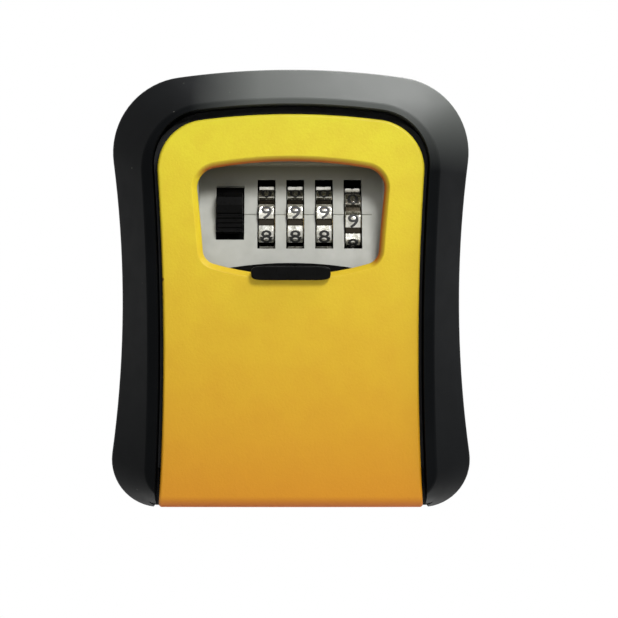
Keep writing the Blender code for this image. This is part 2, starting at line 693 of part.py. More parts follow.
def mechanism_cover(material):
    """Box behind the faceplate that carries the spindle and closes the mechanism."""
    item = block("mechanism_cover", (-TRAY_HALF, TRAY_HALF), (COVER_FRONT_Y, COVER_REAR_Y),
                 (TRAY_BOTTOM, TRAY_TOP))
    cut(item, block("cover_hollow", (-COVER_INSIDE, COVER_INSIDE),
                    (COVER_FRONT_Y - SLIVER, COVER_INSIDE_Y),
                    (TRAY_BOTTOM + COVER_WALL, TRAY_TOP - COVER_WALL)))
    for name, x, z in cover_screw_places():
        inward = 1 if z < TRAY_BOTTOM else -1
        edge = TRAY_BOTTOM if z < TRAY_BOTTOM else TRAY_TOP
        reach = sorted((z - inward * EAR_HALF, edge + inward * COVER_WALL / 2))
        fuse(item, block(f"{name}_ear", (x - EAR_HALF, x + EAR_HALF),
                         (COVER_FRONT_Y, COVER_FRONT_Y + EAR_PLATE), reach))
    for name, x, z in cover_screw_places():
        cut(item, rod(f"{name}_hole", (x, COVER_FRONT_Y - SLIVER, z),
                      (x, COVER_FRONT_Y + EAR_PLATE + SLIVER, z), SCREW_RADIUS + GAP, 12))
    cut(item, rod("spindle_bore", (-TRAY_HALF - SLIVER, AXIS_Y, AXIS_Z),
                  (TRAY_HALF + SLIVER, AXIS_Y, AXIS_Z), SPINDLE_RADIUS + GAP))
    middle_y, middle_z = leaning(0.0, (TRAY_TOP - COVER_WALL / 2 - AXIS_Z) / math.cos(TILT))
    travel_y = LEVER_TRAVEL * math.sin(TILT)
    half = LATCH_PLATE / 2 + 2 * GAP + COVER_WALL * math.tan(TILT)
    cut(item, block("tongue_slot", (-TONGUE_HALF - GAP, TONGUE_HALF + GAP),
                    (middle_y - half - travel_y, middle_y + half),
                    (middle_z - COVER_WALL, middle_z + COVER_WALL)))
    reset = reset_x()
    cut(item, block("reset_slot", (reset - RESET_WIDTH / 2 - GAP,
                                   reset + RESET_WIDTH / 2 + RESET_TRAVEL + GAP),
                    (COVER_INSIDE_Y - SLIVER, COVER_REAR_Y + SLIVER),
                    (AXIS_Z - RESET_HALF - GAP, AXIS_Z + RESET_HALF + GAP)))
    return dress(item, material)


def cover_screws(material):
    """Screws that hold cover and faceplate to the door."""
    seat_y = COVER_FRONT_Y + EAR_PLATE + GAP
    return [screw(name, material, (x, seat_y, z), (0, -1, 0), seat_y - DOOR_REAR_Y - GAP)
            for name, x, z in cover_screw_places()]


def shutter_guide(material):
    """Plate with two rails that the shutter runs in, screwed to the door."""
    low = SHUTTER_BOTTOM - GUIDE_BELOW
    high = TRAY_BOTTOM - GUIDE_TOP_DROP
    rail_in = SHUTTER_HALF + GAP
    outer = rail_in + GUIDE_RAIL
    item = block("shutter_guide", (-outer, outer), (TRAY_Y, TRAY_Y + GUIDE_PLATE), (low, high))
    for side in (-1, 1):
        fuse(item, block(f"guide_rail_{side}", sorted((side * rail_in, side * outer)),
                         (SHUTTER_FRONT_Y, TRAY_Y + GUIDE_PLATE / 2), (SHUTTER_BOTTOM, high)))
    for name, x, z in guide_screw_places():
        cut(item, rod(f"{name}_hole", (x, TRAY_Y - SLIVER, z),
                      (x, TRAY_Y + GUIDE_PLATE + SLIVER, z), SCREW_RADIUS + GAP, 12))
    return dress(item, material)


def guide_screws(material):
    """Screws that hold the shutter guide to the door."""
    seat_y = TRAY_Y + GUIDE_PLATE + GAP
    return [screw(name, material, (x, seat_y, z), (0, -1, 0), seat_y - DOOR_REAR_Y - GAP)
            for name, x, z in guide_screw_places()]


def shutter(material):
    """Shutter that slides up over the dials, with a grip that reaches out through the window."""
    drop = SHUTTER_ARC - math.sqrt(SHUTTER_ARC ** 2 - SHUTTER_HALF ** 2)
    spread = math.asin(SHUTTER_HALF / SHUTTER_ARC)
    crest = arc(Vector((0.0, SHUTTER_TOP - SHUTTER_ARC)), SHUTTER_ARC, math.pi / 2 + spread,
                math.pi / 2 - spread, 12)
    shape = [Vector((-SHUTTER_HALF, SHUTTER_BOTTOM)), *crest,
             Vector((SHUTTER_HALF, SHUTTER_TOP - drop)), Vector((SHUTTER_HALF, SHUTTER_BOTTOM))]
    item = loft("shutter", [[Vector((point.x, y, point.y)) for point in shape]
                            for y in (SHUTTER_FRONT_Y, SHUTTER_REAR_Y)])
    top = SHUTTER_TOP
    stem_top = top - (SHUTTER_ARC - math.sqrt(SHUTTER_ARC ** 2 - GRIP_STEM_HALF ** 2))
    fuse(item, block("grip_stem", (-GRIP_STEM_HALF, GRIP_STEM_HALF),
                     (DOOR_Y - GAP - GRIP_HEAD / 2, SHUTTER_FRONT_Y + SHUTTER_PLATE / 2),
                     (stem_top - GRIP_STEM, stem_top)))
    low = top + GAP - GRIP_HEIGHT
    outline = [(-GRIP_HALF + GRIP_CORNER, top + GAP), (GRIP_HALF - GRIP_CORNER, top + GAP),
               (GRIP_HALF, top + GAP - GRIP_CORNER), (GRIP_HALF, low + GRIP_CORNER),
               (GRIP_HALF - GRIP_CORNER, low + GRIP_BELLY / 2), (0.0, low - GRIP_BELLY),
               (-GRIP_HALF + GRIP_CORNER, low + GRIP_BELLY / 2), (-GRIP_HALF, low + GRIP_CORNER),
               (-GRIP_HALF, top + GAP - GRIP_CORNER)]
    fuse(item, loft("grip_head", [[Vector((x, y, z)) for x, z in outline]
                                  for y in (DOOR_Y - GAP - GRIP_HEAD, DOOR_Y - GAP)]))
    return dress(item, material)


# ---------------------------------------------------------------- the lock, in the leaning frame

def wheel_ring(x, radii):
    """A ring of (radius, angle) points at one X, with angles from the front, upwards."""
    return [Vector((x, -radius * math.cos(angle), radius * math.sin(angle)))
            for radius, angle in radii]


def dial(index, material):
    """Numbered dial: ten pads with grooves between them, bored for its cam's sleeve."""
    turn = LAST_DIAL_TURN if index == DIAL_COUNT - 1 else 0.0
    step = math.tau / DIGITS
    rim = []
    for digit in range(DIGITS):
        middle = digit * step - turn
        rim += [(DIAL_RADIUS, middle + PAD_ANGLE * share) for share in (-0.5, -0.17, 0.17, 0.5)]
        rim += [(DIAL_RADIUS - GROOVE_DEPTH, middle + step / 2 + PAD_ANGLE * share)
                for share in (-0.25, 0.25)]
    left, right = dial_x(index) - DIAL_WIDTH / 2, dial_x(index) + DIAL_WIDTH / 2
    item = loft(f"dial_{index + 1}", [wheel_ring(left, rim), wheel_ring(right, rim)])
    cut(item, rod(f"dial_bore_{index + 1}", (left - SLIVER, 0, 0), (right + SLIVER, 0, 0),
                  DIAL_BORE, 24))
    cut(item, drive_block(f"dial_pocket_{index + 1}", right - DRIVE_LUG_REACH - GAP,
                          right + SLIVER, GAP))
    return dress(item, material, 20.0)


def drive_block(name, left, right, margin):
    """The drive lug's block, or with a margin the pocket for it."""
    return block(name, (left, right), (DRIVE_LUG_IN - margin, DRIVE_LUG_OUT + margin),
                 (-DRIVE_LUG_HALF - margin, DRIVE_LUG_HALF + margin))


def cam(index, material):
    """Code cam: a disc with a gate, on a sleeve that carries the dial, and a drive lug."""
    face = dial_x(index) + DIAL_WIDTH / 2
    left, right = face + CAM_SETBACK, face + CAM_SETBACK + CAM_DISC
    name = f"cam_{index + 1}"
    item = rod(name, (left, 0, 0), (right, 0, 0), CAM_RADIUS, 32)
    fuse(item, rod(f"{name}_sleeve", (face - DIAL_WIDTH + GAP, 0, 0), (left + CAM_DISC / 2, 0, 0),
                   CAM_SLEEVE, 24))
    fuse(item, drive_block(f"{name}_lug", face - DRIVE_LUG_REACH, left + CAM_DISC / 2, 0.0))
    cut(item, block(f"{name}_gate", (left - CAM_SETBACK / 2, right + SLIVER),
                    (-GATE_HALF, GATE_HALF), (CAM_RADIUS - GATE_DEPTH, CAM_RADIUS + SLIVER)))
    cut(item, rod(f"{name}_bore", (face - 2 * DIAL_WIDTH, 0, 0), (right + SLIVER, 0, 0),
                  SPINDLE_RADIUS + GAP))
    return dress(item, material)


def reset_x():
    """Middle of the reset lever."""
    return COVER_INSIDE - RESET_INSET


def spindle(material):
    """Rod through the cams, carried by the cover's side walls."""
    return dress(rod("spindle", (-TRAY_HALF - SPINDLE_PAST_LEFT, AXIS_Y, AXIS_Z),
                     (TRAY_HALF - SPINDLE_SHORT_RIGHT, AXIS_Y, AXIS_Z), SPINDLE_RADIUS), material)


def reset_lever(material):
    """Lever on the spindle that reaches out through the rear of the cover."""
    x_range = (reset_x() - RESET_WIDTH / 2, reset_x() + RESET_WIDTH / 2)
    item = block("reset_lever", x_range, (AXIS_Y, COVER_REAR_Y + RESET_GRIP),
                 (AXIS_Z - RESET_HALF, AXIS_Z + RESET_HALF))
    fuse(item, rod("reset_collar", (x_range[0], AXIS_Y, AXIS_Z), (x_range[1], AXIS_Y, AXIS_Z),
                   CAM_SLEEVE))
    cut(item, rod("reset_bore", (x_range[0] - SLIVER, AXIS_Y, AXIS_Z),
                  (x_range[1] + SLIVER, AXIS_Y, AXIS_Z), SPINDLE_RADIUS + GAP))
    return dress(item, material)


def lever_x():
    """Middle of the release lever."""
    return DIAL_FIRST_X - LEVER_FROM_DIAL


def release_lever(material):
    """Slide that the user pulls down: ribbed knob, neck, foot behind the faceplate and post."""
    x, face = lever_x(), -DIAL_SUNK
    low, high = LEVER_UP - LEVER_LOW, LEVER_UP + LEVER_HIGH
    toe, hump = face - GAP - LEVER_TOE_HIGH, face - GAP - LEVER_HUMP_HIGH
    profile = [(face - GAP, high), (face - GAP, low), (toe, low)]
    for rib in range(LEVER_RIBS):
        start = low + (rib + 0.4) * LEVER_RIB_PITCH
        rise = toe - 0.18 * rib * MM
        profile += [(rise, start), (rise + LEVER_RIB_DEEP, start + 0.2 * LEVER_RIB_PITCH),
                    (rise + LEVER_RIB_DEEP, start + 0.45 * LEVER_RIB_PITCH),
                    (rise - 0.1 * MM, start + 0.6 * LEVER_RIB_PITCH)]
    shoulder = low + (LEVER_RIBS + 0.5) * LEVER_RIB_PITCH
    profile += [(hump, shoulder + 1.2 * MM), (hump, high - 1.5 * MM), (hump + 0.8 * MM, high)]
    half = LEVER_WIDTH / 2
    item = bar("release_lever", profile, x - half, x + half)
    foot_y = face + TUB_WALL + GAP
    neck = LEVER_NECK_HALF
    fuse(item, block("lever_neck", (x - neck, x + neck), (face - 2 * GAP, foot_y + GAP),
                     (LEVER_UP - LEVER_NECK_HIGH, LEVER_UP + LEVER_NECK_HIGH)))
    foot = LEVER_FOOT_HALF
    fuse(item, block("lever_foot", (x - foot, x + foot), (foot_y, foot_y + LEVER_FOOT_PLATE),
                     (-LEVER_FOOT_LOW, LEVER_FOOT_HIGH)))
    fuse(item, block("lever_seat", (x - neck, x + neck), (foot_y + GAP, foot_y + SPRING_SEAT),
                     (-LEVER_FOOT_LOW, -LEVER_FOOT_LOW + LEVER_FOOT_PLATE)))
    post_end = -LATCH_PLATE / 2 - GAP
    fuse(item, block("lever_post", (x - neck, x + neck), (foot_y + GAP, post_end),
                     (LEVER_POST_LOW, LEVER_POST_HIGH)))
    cut(item, rod("lever_pilot", (x, post_end - 3.5 * MM, latch_screw_z()),
                  (x, post_end + SLIVER, latch_screw_z()), SCREW_RADIUS + GAP, 12))
    return dress(item, material)


def latch_screw_z():
    """Height of the latch screw in the leaning frame."""
    return (LEVER_POST_LOW + LEVER_POST_HIGH) / 2


def latch_plate(material):
    """Sheet-steel plate: leg at the lever, bar over the dials, a finger per cam, and the tongue."""
    x, half = lever_x(), LATCH_PLATE / 2
    thick = (-half, half)
    bar_low = DIAL_RADIUS + LEVER_TRAVEL + LATCH_BAR_CLEAR
    bar_high = bar_low + LATCH_BAR
    left = x - LATCH_LEG_HALF
    item = block("latch_plate", (left, finger_x(DIAL_COUNT - 1) + FINGER_WIDTH / 2), thick,
                 (bar_low, bar_high))
    fuse(item, block("latch_leg", (left, x + LATCH_LEG_HALF), thick,
                     (LATCH_LEG_LOW, bar_high - LATCH_BAR / 2)))
    for index in range(DIAL_COUNT):
        middle = finger_x(index)
        fuse(item, block(f"latch_finger_{index + 1}",
                         (middle - FINGER_WIDTH / 2, middle + FINGER_WIDTH / 2), thick,
                         (CAM_RADIUS + GAP, bar_high - LATCH_BAR / 2)))
    fuse(item, block("latch_tongue", (-TONGUE_HALF, TONGUE_HALF), thick,
                     (bar_high - LATCH_BAR / 2, TONGUE_TOP)))
    cut(item, rod("latch_hole", (x, -SLIVER, latch_screw_z()), (x, SLIVER, latch_screw_z()),
                  SCREW_RADIUS + GAP, 12))
    return dress(item, material)


def finger_x(index):
    """Middle of a latch finger, in line with its cam's disc."""
    return dial_x(index) + DIAL_WIDTH / 2 + CAM_SETBACK + CAM_DISC / 2


def lever_spring(material):
    """Compression spring that pushes the release lever back up."""
    low = -(AXIS_Z - TRAY_BOTTOM - COVER_WALL) / math.cos(TILT) + SPRING_RADIUS
    high = -LEVER_FOOT_LOW - GAP - SPRING_WIRE
    y = -DIAL_SUNK + TUB_WALL + 2 * GAP + SPRING_RADIUS + SPRING_WIRE
    steps = SPRING_TURNS * 10
    curve = bpy.data.curves.new("lever_spring_path", "CURVE")
    curve.dimensions = "3D"
    curve.bevel_depth = SPRING_WIRE
    curve.bevel_resolution = 1
    curve.use_fill_caps = True
    line = curve.splines.new("POLY")
    line.points.add(steps)
    for step in range(steps + 1):
        angle = math.tau * SPRING_TURNS * step / steps
        line.points[step].co = (lever_x() + SPRING_RADIUS * math.cos(angle),
                                y + SPRING_RADIUS * math.sin(angle),
                                low + (high - low) * step / steps, 1.0)
    item = bpy.data.objects.new("lever_spring", curve)
    bpy.context.scene.collection.objects.link(item)
    curve.materials.append(material)
    return item


def click_spring(material):
    """Comb of leaf springs on the cover's floor, one leaf under each dial."""
    floor_z = TRAY_BOTTOM + COVER_WALL + GAP
    rear_y = AXIS_Y + CLICK_BASE / 2
    tip_z = AXIS_Z - DIAL_RADIUS - GAP - CLICK_LEAF
    base = (dial_x(0) - CLICK_LEAF_WIDTH / 2, dial_x(DIAL_COUNT - 1) + CLICK_LEAF_WIDTH / 2)
    item = block("click_spring", base, (rear_y - CLICK_BASE, rear_y), (floor_z, floor_z + CLICK_LEAF))
    for index in range(DIAL_COUNT):
        leaf = [(rear_y - CLICK_LEAF, floor_z + CLICK_LEAF / 2), (rear_y, floor_z + CLICK_LEAF / 2),
                (AXIS_Y, tip_z), (AXIS_Y - SLIVER, tip_z - CLICK_LEAF),
                (AXIS_Y - SLIVER, tip_z - 2 * CLICK_LEAF), (AXIS_Y, tip_z - CLICK_LEAF)]
        x = dial_x(index)
        fuse(item, bar(f"click_leaf_{index + 1}", leaf, x - CLICK_LEAF_WIDTH / 2,
                       x + CLICK_LEAF_WIDTH / 2))
    return dress(item, material)


def build():
    """Model every piece and hang it on its joint."""
    clear_scene()
    moulding = paint("black_moulding", (0.012, 0.012, 0.013), 0.38, 0.0)
    casting = paint("grey_casting", (0.08, 0.08, 0.085), 0.5, 0.6)
    yellow = paint("yellow_coating", (0.80, 0.42, 0.03), 0.45, 0.0)
    grey = paint("grey_faceplate", (0.42, 0.43, 0.40), 0.5, 0.0)
    chrome = paint("dial_plating", (0.8, 0.8, 0.78), 0.12, 1.0)
    steel = paint("plain_steel", (0.55, 0.56, 0.58), 0.3, 1.0)
    brass = paint("cam_brass", (0.75, 0.58, 0.28), 0.3, 1.0)
    black = paint("black_plastic", (0.01, 0.01, 0.011), 0.3, 0.0)

    case_body(casting)
    shroud(moulding)
    hinge_pin(steel)
    latch_keeper(steel)
    shroud_screws(steel)

    door_axis = pivot("door_axis", (0.0, HINGE_Y, HINGE_Z))
    dial_axis = pivot("dial_axis", (0.0, AXIS_Y, AXIS_Z), -TILT)
    spindle_axis = pivot("spindle_axis", (0.0, AXIS_Y, AXIS_Z))

    hang(door_axis, door_panel(yellow), mechanism_cover(black), shutter_guide(steel))
    hang(door_axis, faceplate(grey, dial_axis), click_spring(steel), shutter(black))
    for item in cover_screws(steel) + guide_screws(steel):
        hang(door_axis, item)

    hang(spindle_axis, spindle(steel), reset_lever(brass))
    for index in range(DIAL_COUNT):
        mount(dial_axis, dial(index, chrome), cam(index, brass))
    mount(dial_axis, release_lever(black), latch_plate(steel), lever_spring(steel))
    mount(dial_axis, screw("latch_screw", steel,
                           (lever_x(), LATCH_PLATE / 2 + GAP, latch_screw_z()),
                           (0, -1, 0), 4.0 * MM))


build()
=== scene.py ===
"""Looks of the wall-mounted key safe: surround, coated door, faceplate, dials and lock pieces."""

from __future__ import annotations

import json
import logging
import math
from dataclasses import dataclass, field, replace
from enum import Enum

import bmesh
import bpy
from mathutils import Matrix, Vector

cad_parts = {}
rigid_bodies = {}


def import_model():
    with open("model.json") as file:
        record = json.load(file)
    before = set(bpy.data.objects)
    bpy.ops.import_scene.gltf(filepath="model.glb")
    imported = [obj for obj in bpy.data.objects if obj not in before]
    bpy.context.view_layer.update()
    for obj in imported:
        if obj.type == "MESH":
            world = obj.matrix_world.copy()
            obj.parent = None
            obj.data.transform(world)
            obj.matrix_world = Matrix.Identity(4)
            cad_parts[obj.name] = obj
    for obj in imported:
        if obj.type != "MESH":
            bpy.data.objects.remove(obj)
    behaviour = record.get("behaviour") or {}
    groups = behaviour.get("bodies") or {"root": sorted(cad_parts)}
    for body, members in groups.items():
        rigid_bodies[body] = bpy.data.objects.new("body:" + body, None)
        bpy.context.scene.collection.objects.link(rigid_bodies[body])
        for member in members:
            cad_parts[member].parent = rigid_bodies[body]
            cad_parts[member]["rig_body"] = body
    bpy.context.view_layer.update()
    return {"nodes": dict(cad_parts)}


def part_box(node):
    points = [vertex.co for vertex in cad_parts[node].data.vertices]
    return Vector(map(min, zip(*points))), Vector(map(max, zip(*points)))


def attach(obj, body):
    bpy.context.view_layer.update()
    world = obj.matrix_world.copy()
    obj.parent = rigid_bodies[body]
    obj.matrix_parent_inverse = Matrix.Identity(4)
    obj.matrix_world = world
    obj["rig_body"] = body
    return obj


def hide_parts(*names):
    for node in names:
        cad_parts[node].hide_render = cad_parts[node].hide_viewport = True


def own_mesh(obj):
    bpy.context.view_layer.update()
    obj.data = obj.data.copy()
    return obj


MM = 0.001
WELD = 0.004 * MM
RIM_DEPTH = 7.0 * MM
LOG = logging.getLogger("key_safe")

Colour = tuple[float, float, float]


# ---------------------------------------------------------------- finishes

class Sheet:
    """A node tree being drawn for one material."""

    def __init__(self, name: str) -> None:
        """Start a material that has only its Principled shader.

        Args:
            name: Name of the material.
        """
        self.material = bpy.data.materials.new(name)
        self.material.use_nodes = True
        self.tree = self.material.node_tree
        self.shader = self.tree.nodes["Principled BSDF"]
        self.place = self.add("ShaderNodeTexCoord").outputs["Object"]

    def add(self, kind: str, **settings: object) -> bpy.types.Node:
        """Add a node.

        Args:
            kind: Blender's name of the node's type.
            settings: Properties to set on it.

        Returns:
            The new node.
        """
        node = self.tree.nodes.new(kind)
        for key, value in settings.items():
            setattr(node, key, value)
        return node

    def link(self, source: bpy.types.NodeSocket, target: bpy.types.NodeSocket) -> None:
        """Join an output socket to an input socket."""
        self.tree.links.new(source, target)

    def plain(self, colour: Colour, roughness: float, metallic: float = 0.0,
              specular: float = 0.5) -> None:
        """Set the shader's own values.

        Args:
            colour: Base colour, linear.
            roughness: Roughness.
            metallic: Metallic value.
            specular: Specular level.
        """
        self.shader.inputs["Base Color"].default_value = (*colour, 1.0)
        self.shader.inputs["Roughness"].default_value = roughness
        self.shader.inputs["Metallic"].default_value = metallic
        self.shader.inputs["Specular IOR Level"].default_value = specular

    def grain(self, size: float, detail: float = 3.0,
              stretch: Colour = (1.0, 1.0, 1.0)) -> bpy.types.NodeSocket:
        """Noise with a grain of a given size.

        Args:
            size: Width of a grain, in metres.
            detail: Detail of the noise.
            stretch: How much the grain is squeezed along each axis.

        Returns:
            The noise's factor.
        """
        mapping = self.add("ShaderNodeMapping")
        mapping.inputs["Scale"].default_value = stretch
        self.link(self.place, mapping.inputs["Vector"])
        noise = self.add("ShaderNodeTexNoise")
        noise.inputs["Scale"].default_value = 1.0 / size
        noise.inputs["Detail"].default_value = detail
        self.link(mapping.outputs["Vector"], noise.inputs["Vector"])
        return noise.outputs["Fac"]

    def spread(self, source: bpy.types.NodeSocket, low: float, high: float,
               span: tuple[float, float] = (0.3, 0.7)) -> bpy.types.NodeSocket:
        """Map a factor onto a range.

        Args:
            source: The factor.
            low: Result at the start of span.
            high: Result at its end.
            span: Part of the factor that is spread.

        Returns:
            The mapped value.
        """
        node = self.add("ShaderNodeMapRange")
        node.inputs["From Min"].default_value, node.inputs["From Max"].default_value = span
        node.inputs["To Min"].default_value, node.inputs["To Max"].default_value = low, high
        self.link(source, node.inputs["Value"])
        return node.outputs["Result"]

    def blend(self, factor: bpy.types.NodeSocket, first: object, second: object) -> bpy.types.NodeSocket:
        """Mix two colours, each a colour or a socket.

        Args:
            factor: Share of the second.
            first: Colour at 0.
            second: Colour at 1.

        Returns:
            The mixed colour.
        """
        node = self.add("ShaderNodeMix", data_type="RGBA")
        self.link(factor, node.inputs["Factor"])
        for socket, value in ((node.inputs[6], first), (node.inputs[7], second)):
            if isinstance(value, tuple):
                socket.default_value = (*value, 1.0)
            else:
                self.link(value, socket)
        return node.outputs[2]

    def bump(self, *layers: tuple[bpy.types.NodeSocket, float]) -> None:
        """Bump from one or more heights.

        Args:
            layers: Pairs of a height factor and its depth in metres.
        """
        previous = None
        for height, depth in layers:
            node = self.add("ShaderNodeBump")
            node.inputs["Strength"].default_value = 1.0
            node.inputs["Distance"].default_value = depth
            self.link(height, node.inputs["Height"])
            if previous is not None:
                self.link(previous, node.inputs["Normal"])
            previous = node.outputs["Normal"]
        self.link(previous, self.shader.inputs["Normal"])

    def along(self, axis: str, start: float, end: float) -> bpy.types.NodeSocket:
        """Share of the way from one place on an axis to another.

        Args:
            axis: X, Y or Z.
            start: Place that gives 0.
            end: Place that gives 1.

        Returns:
            The share.
        """
        split = self.add("ShaderNodeSeparateXYZ")
        self.link(self.place, split.inputs["Vector"])
        return self.spread(split.outputs[axis], 0.0, 1.0, (start, end))

    def join(self, operation: str, *sources: bpy.types.NodeSocket) -> bpy.types.NodeSocket:
        """Combine factors by a math operation.

        Args:
            operation: Blender's name of it, such as MULTIPLY or MAXIMUM.
            sources: The factors.

        Returns:
            The result.
        """
        result = sources[0]
        for source in sources[1:]:
            node = self.add("ShaderNodeMath", operation=operation)
            self.link(result, node.inputs[0])
            self.link(source, node.inputs[1])
            result = node.outputs[0]
        return result


@dataclass(frozen=True)
class SatinMoulding:
    """Satin black moulded plastic with a faint haze, a few dust specks and a painted highlight on its upper
    bevel.
    """

    name: str = "shroud_moulding"
    colour: Colour = (0.0022, 0.0026, 0.003)
    haze: Colour = (0.0032, 0.0037, 0.0043)
    speck: Colour = (0.08, 0.08, 0.07)
    # Colour of a painted highlight: the lamp's sheen on the upper bevel, right of the middle.
    painted_highlight: Colour = (0.062, 0.066, 0.062)
    painted_highlight_x: tuple[float, float] = (-0.026, -0.008)
    painted_highlight_z: tuple[float, float] = (0.030, 0.049)

    def make(self) -> bpy.types.Material:
        """Build the material.

        Returns:
            The finished material.
        """
        sheet = Sheet(self.name)
        sheet.plain(self.colour, 0.36, specular=0.035)
        # Painted highlight: a mask over the top, from just left of the middle across to the right.
        painted_highlight = sheet.join("MULTIPLY", sheet.along("X", *self.painted_highlight_x),
                            sheet.along("Z", *self.painted_highlight_z))
        cloud = sheet.grain(14 * MM, 4.0)
        body = sheet.blend(sheet.spread(cloud, 0.0, 1.0, (0.45, 0.75)), self.colour, self.haze)
        body = sheet.blend(painted_highlight, body, self.painted_highlight)
        dust = sheet.add("ShaderNodeTexVoronoi")
        dust.inputs["Scale"].default_value = 1.0 / (7.0 * MM)
        sheet.link(sheet.place, dust.inputs["Vector"])
        spots = sheet.spread(dust.outputs["Distance"], 1.0, 0.0, (0.018, 0.032))
        sheet.link(sheet.blend(spots, body, self.speck), sheet.shader.inputs["Base Color"])
        sheet.link(sheet.spread(sheet.grain(5 * MM, 5.0), 0.36, 0.45),
                   sheet.shader.inputs["Roughness"])
        sheet.bump((sheet.grain(0.35 * MM, 2.0), 0.006 * MM), (sheet.grain(9 * MM, 2.0), 0.02 * MM))
        return sheet.material


@dataclass(frozen=True)
class PowderCoat:
    """Powder coat with orange peel, a chip, and painted shade: darker and more orange towards the bottom,
    along the rolled lower edge and on the upper and right window bevels.
    """

    name: str = "door_coating"
    # upper and lower are the ends of a painted shade down the door, as the light from above falls off
    # towards the bottom.
    upper: Colour = (0.77, 0.68, 0.034)
    lower: Colour = (0.585, 0.235, 0.010)
    deep: Colour = (0.52, 0.20, 0.008)
    low: float = -0.056
    high: float = 0.045
    chip_at: Colour = (-0.0332, -0.0378, 0.0022)
    chip_colour: Colour = (0.16, 0.035, 0.012)
    # rim is the colour of painted shade, on the rolled lower edge and on the upper and right window bevels.
    rim: Colour = (0.36, 0.095, 0.008)
    bevel_y: tuple[float, float] = (-0.0380, -0.0368)
    window_x: tuple[float, float] = (27.0 * MM, 26.0 * MM)
    window_top: tuple[float, float] = (36.5 * MM, 36.0 * MM)
    window_foot: tuple[float, float] = (0.5 * MM, 1.5 * MM)
    shaded_top: tuple[float, float] = (28.0 * MM, 30.5 * MM)
    shaded_right: tuple[float, float] = (20.5 * MM, 22.0 * MM)
    rim_fade: tuple[float, float] = (2.6 * MM, 0.2 * MM)
    chip_radius: tuple[float, float] = (0.55 * MM, 0.75 * MM)
    chip_wobble: float = 1.2 * MM

    def make(self) -> bpy.types.Material:
        """Build the material.

        Returns:
            The finished material.
        """
        sheet = Sheet(self.name)
        sheet.plain(self.lower, 0.42, specular=0.3)
        # Painted shade: yellow at the top, darker and more orange towards the bottom.
        painted_falloff = sheet.blend(sheet.along("Z", self.low, self.high), self.lower, self.upper)
        mottle = sheet.spread(sheet.grain(6 * MM, 5.0), 0.0, 0.16, (0.35, 0.75))
        body = sheet.blend(mottle, painted_falloff, self.deep)
        fleck = sheet.spread(sheet.grain(0.5 * MM, 2.0), 0.0, 0.10, (0.4, 0.8))
        body = sheet.blend(fleck, body, self.deep)
        # Painted shade along the rolled lower edge, darkest at the bottom.
        fade_start, fade_end = (self.low + step for step in self.rim_fade)
        body = sheet.blend(sheet.along("Z", fade_start, fade_end), body, self.rim)
        # Painted shade on the window's upper and right bevels, under the door's edge.
        body = sheet.blend(self.painted_window_shade(sheet), body, self.rim)
        sheet.link(sheet.blend(self.chip(sheet), body, self.chip_colour), sheet.shader.inputs["Base Color"])
        sheet.link(sheet.spread(sheet.grain(3 * MM), 0.38, 0.50), sheet.shader.inputs["Roughness"])
        sheet.bump((sheet.grain(0.6 * MM, 2.0), 0.05 * MM), (sheet.grain(0.25 * MM, 1.0), 0.02 * MM))
        return sheet.material

    def painted_window_shade(self, sheet: Sheet) -> bpy.types.NodeSocket:
        """Share of painted shade on the upper and right bevels of the window.

        Args:
            sheet: The material's node tree.

        Returns:
            The share.
        """
        left = tuple(-place for place in self.window_x)
        inside = sheet.join("MULTIPLY", sheet.along("Y", *self.bevel_y),
                            sheet.along("X", *self.window_x), sheet.along("X", *left),
                            sheet.along("Z", *self.window_top), sheet.along("Z", *self.window_foot))
        turned = sheet.join("MAXIMUM", sheet.along("Z", *self.shaded_top),
                            sheet.along("X", *self.shaded_right))
        return sheet.join("MULTIPLY", inside, turned)

    def chip(self, sheet: Sheet) -> bpy.types.NodeSocket:
        """Share of bare primer where the coat is chipped.

        Args:
            sheet: The material's node tree.

        Returns:
            The share.
        """
        near = sheet.add("ShaderNodeVectorMath", operation="DISTANCE")
        wobble = sheet.add("ShaderNodeVectorMath", operation="ADD")
        rough = sheet.add("ShaderNodeTexNoise")
        rough.inputs["Scale"].default_value = 1.0 / (0.9 * MM)
        sheet.link(sheet.place, rough.inputs["Vector"])
        shrink = sheet.add("ShaderNodeVectorMath", operation="SCALE")
        shrink.inputs["Scale"].default_value = self.chip_wobble
        sheet.link(rough.outputs["Color"], shrink.inputs[0])
        sheet.link(sheet.place, wobble.inputs[0])
        sheet.link(shrink.outputs["Vector"], wobble.inputs[1])
        sheet.link(wobble.outputs["Vector"], near.inputs[0])
        near.inputs[1].default_value = [value + self.chip_wobble / 2 for value in self.chip_at]
        return sheet.spread(near.outputs["Value"], 1.0, 0.0, self.chip_radius)


@dataclass(frozen=True)
class FinePlastic:
    """Moulded plastic with a fine spark-eroded grain, and painted shade towards the top where a shade
    colour is given.
    """

    name: str
    colour: Colour
    shade: Colour
    roughness: float = 0.45
    specular: float = 0.45
    grain_depth: float = 0.01 * MM
    # Colour of painted shade towards the top, as in the recess under the door's edge.
    painted_shade: Colour | None = None
    painted_shade_from: tuple[float, float] = (0.0235, 0.0318)

    def make(self) -> bpy.types.Material:
        """Build the material.

        Returns:
            The finished material.
        """
        sheet = Sheet(self.name)
        sheet.plain(self.colour, self.roughness, specular=self.specular)
        patch = sheet.spread(sheet.grain(4 * MM, 5.0), 0.0, 1.0)
        body = sheet.blend(patch, self.colour, self.shade)
        if self.painted_shade:
            # Painted shade: darker towards the top.
            body = sheet.blend(sheet.along("Z", *self.painted_shade_from), body, self.painted_shade)
        sheet.link(body, sheet.shader.inputs["Base Color"])
        sheet.link(sheet.spread(sheet.grain(2 * MM), self.roughness - 0.06, self.roughness + 0.06),
                   sheet.shader.inputs["Roughness"])
        sheet.bump((sheet.grain(0.25 * MM, 2.0), self.grain_depth))
        return sheet.material


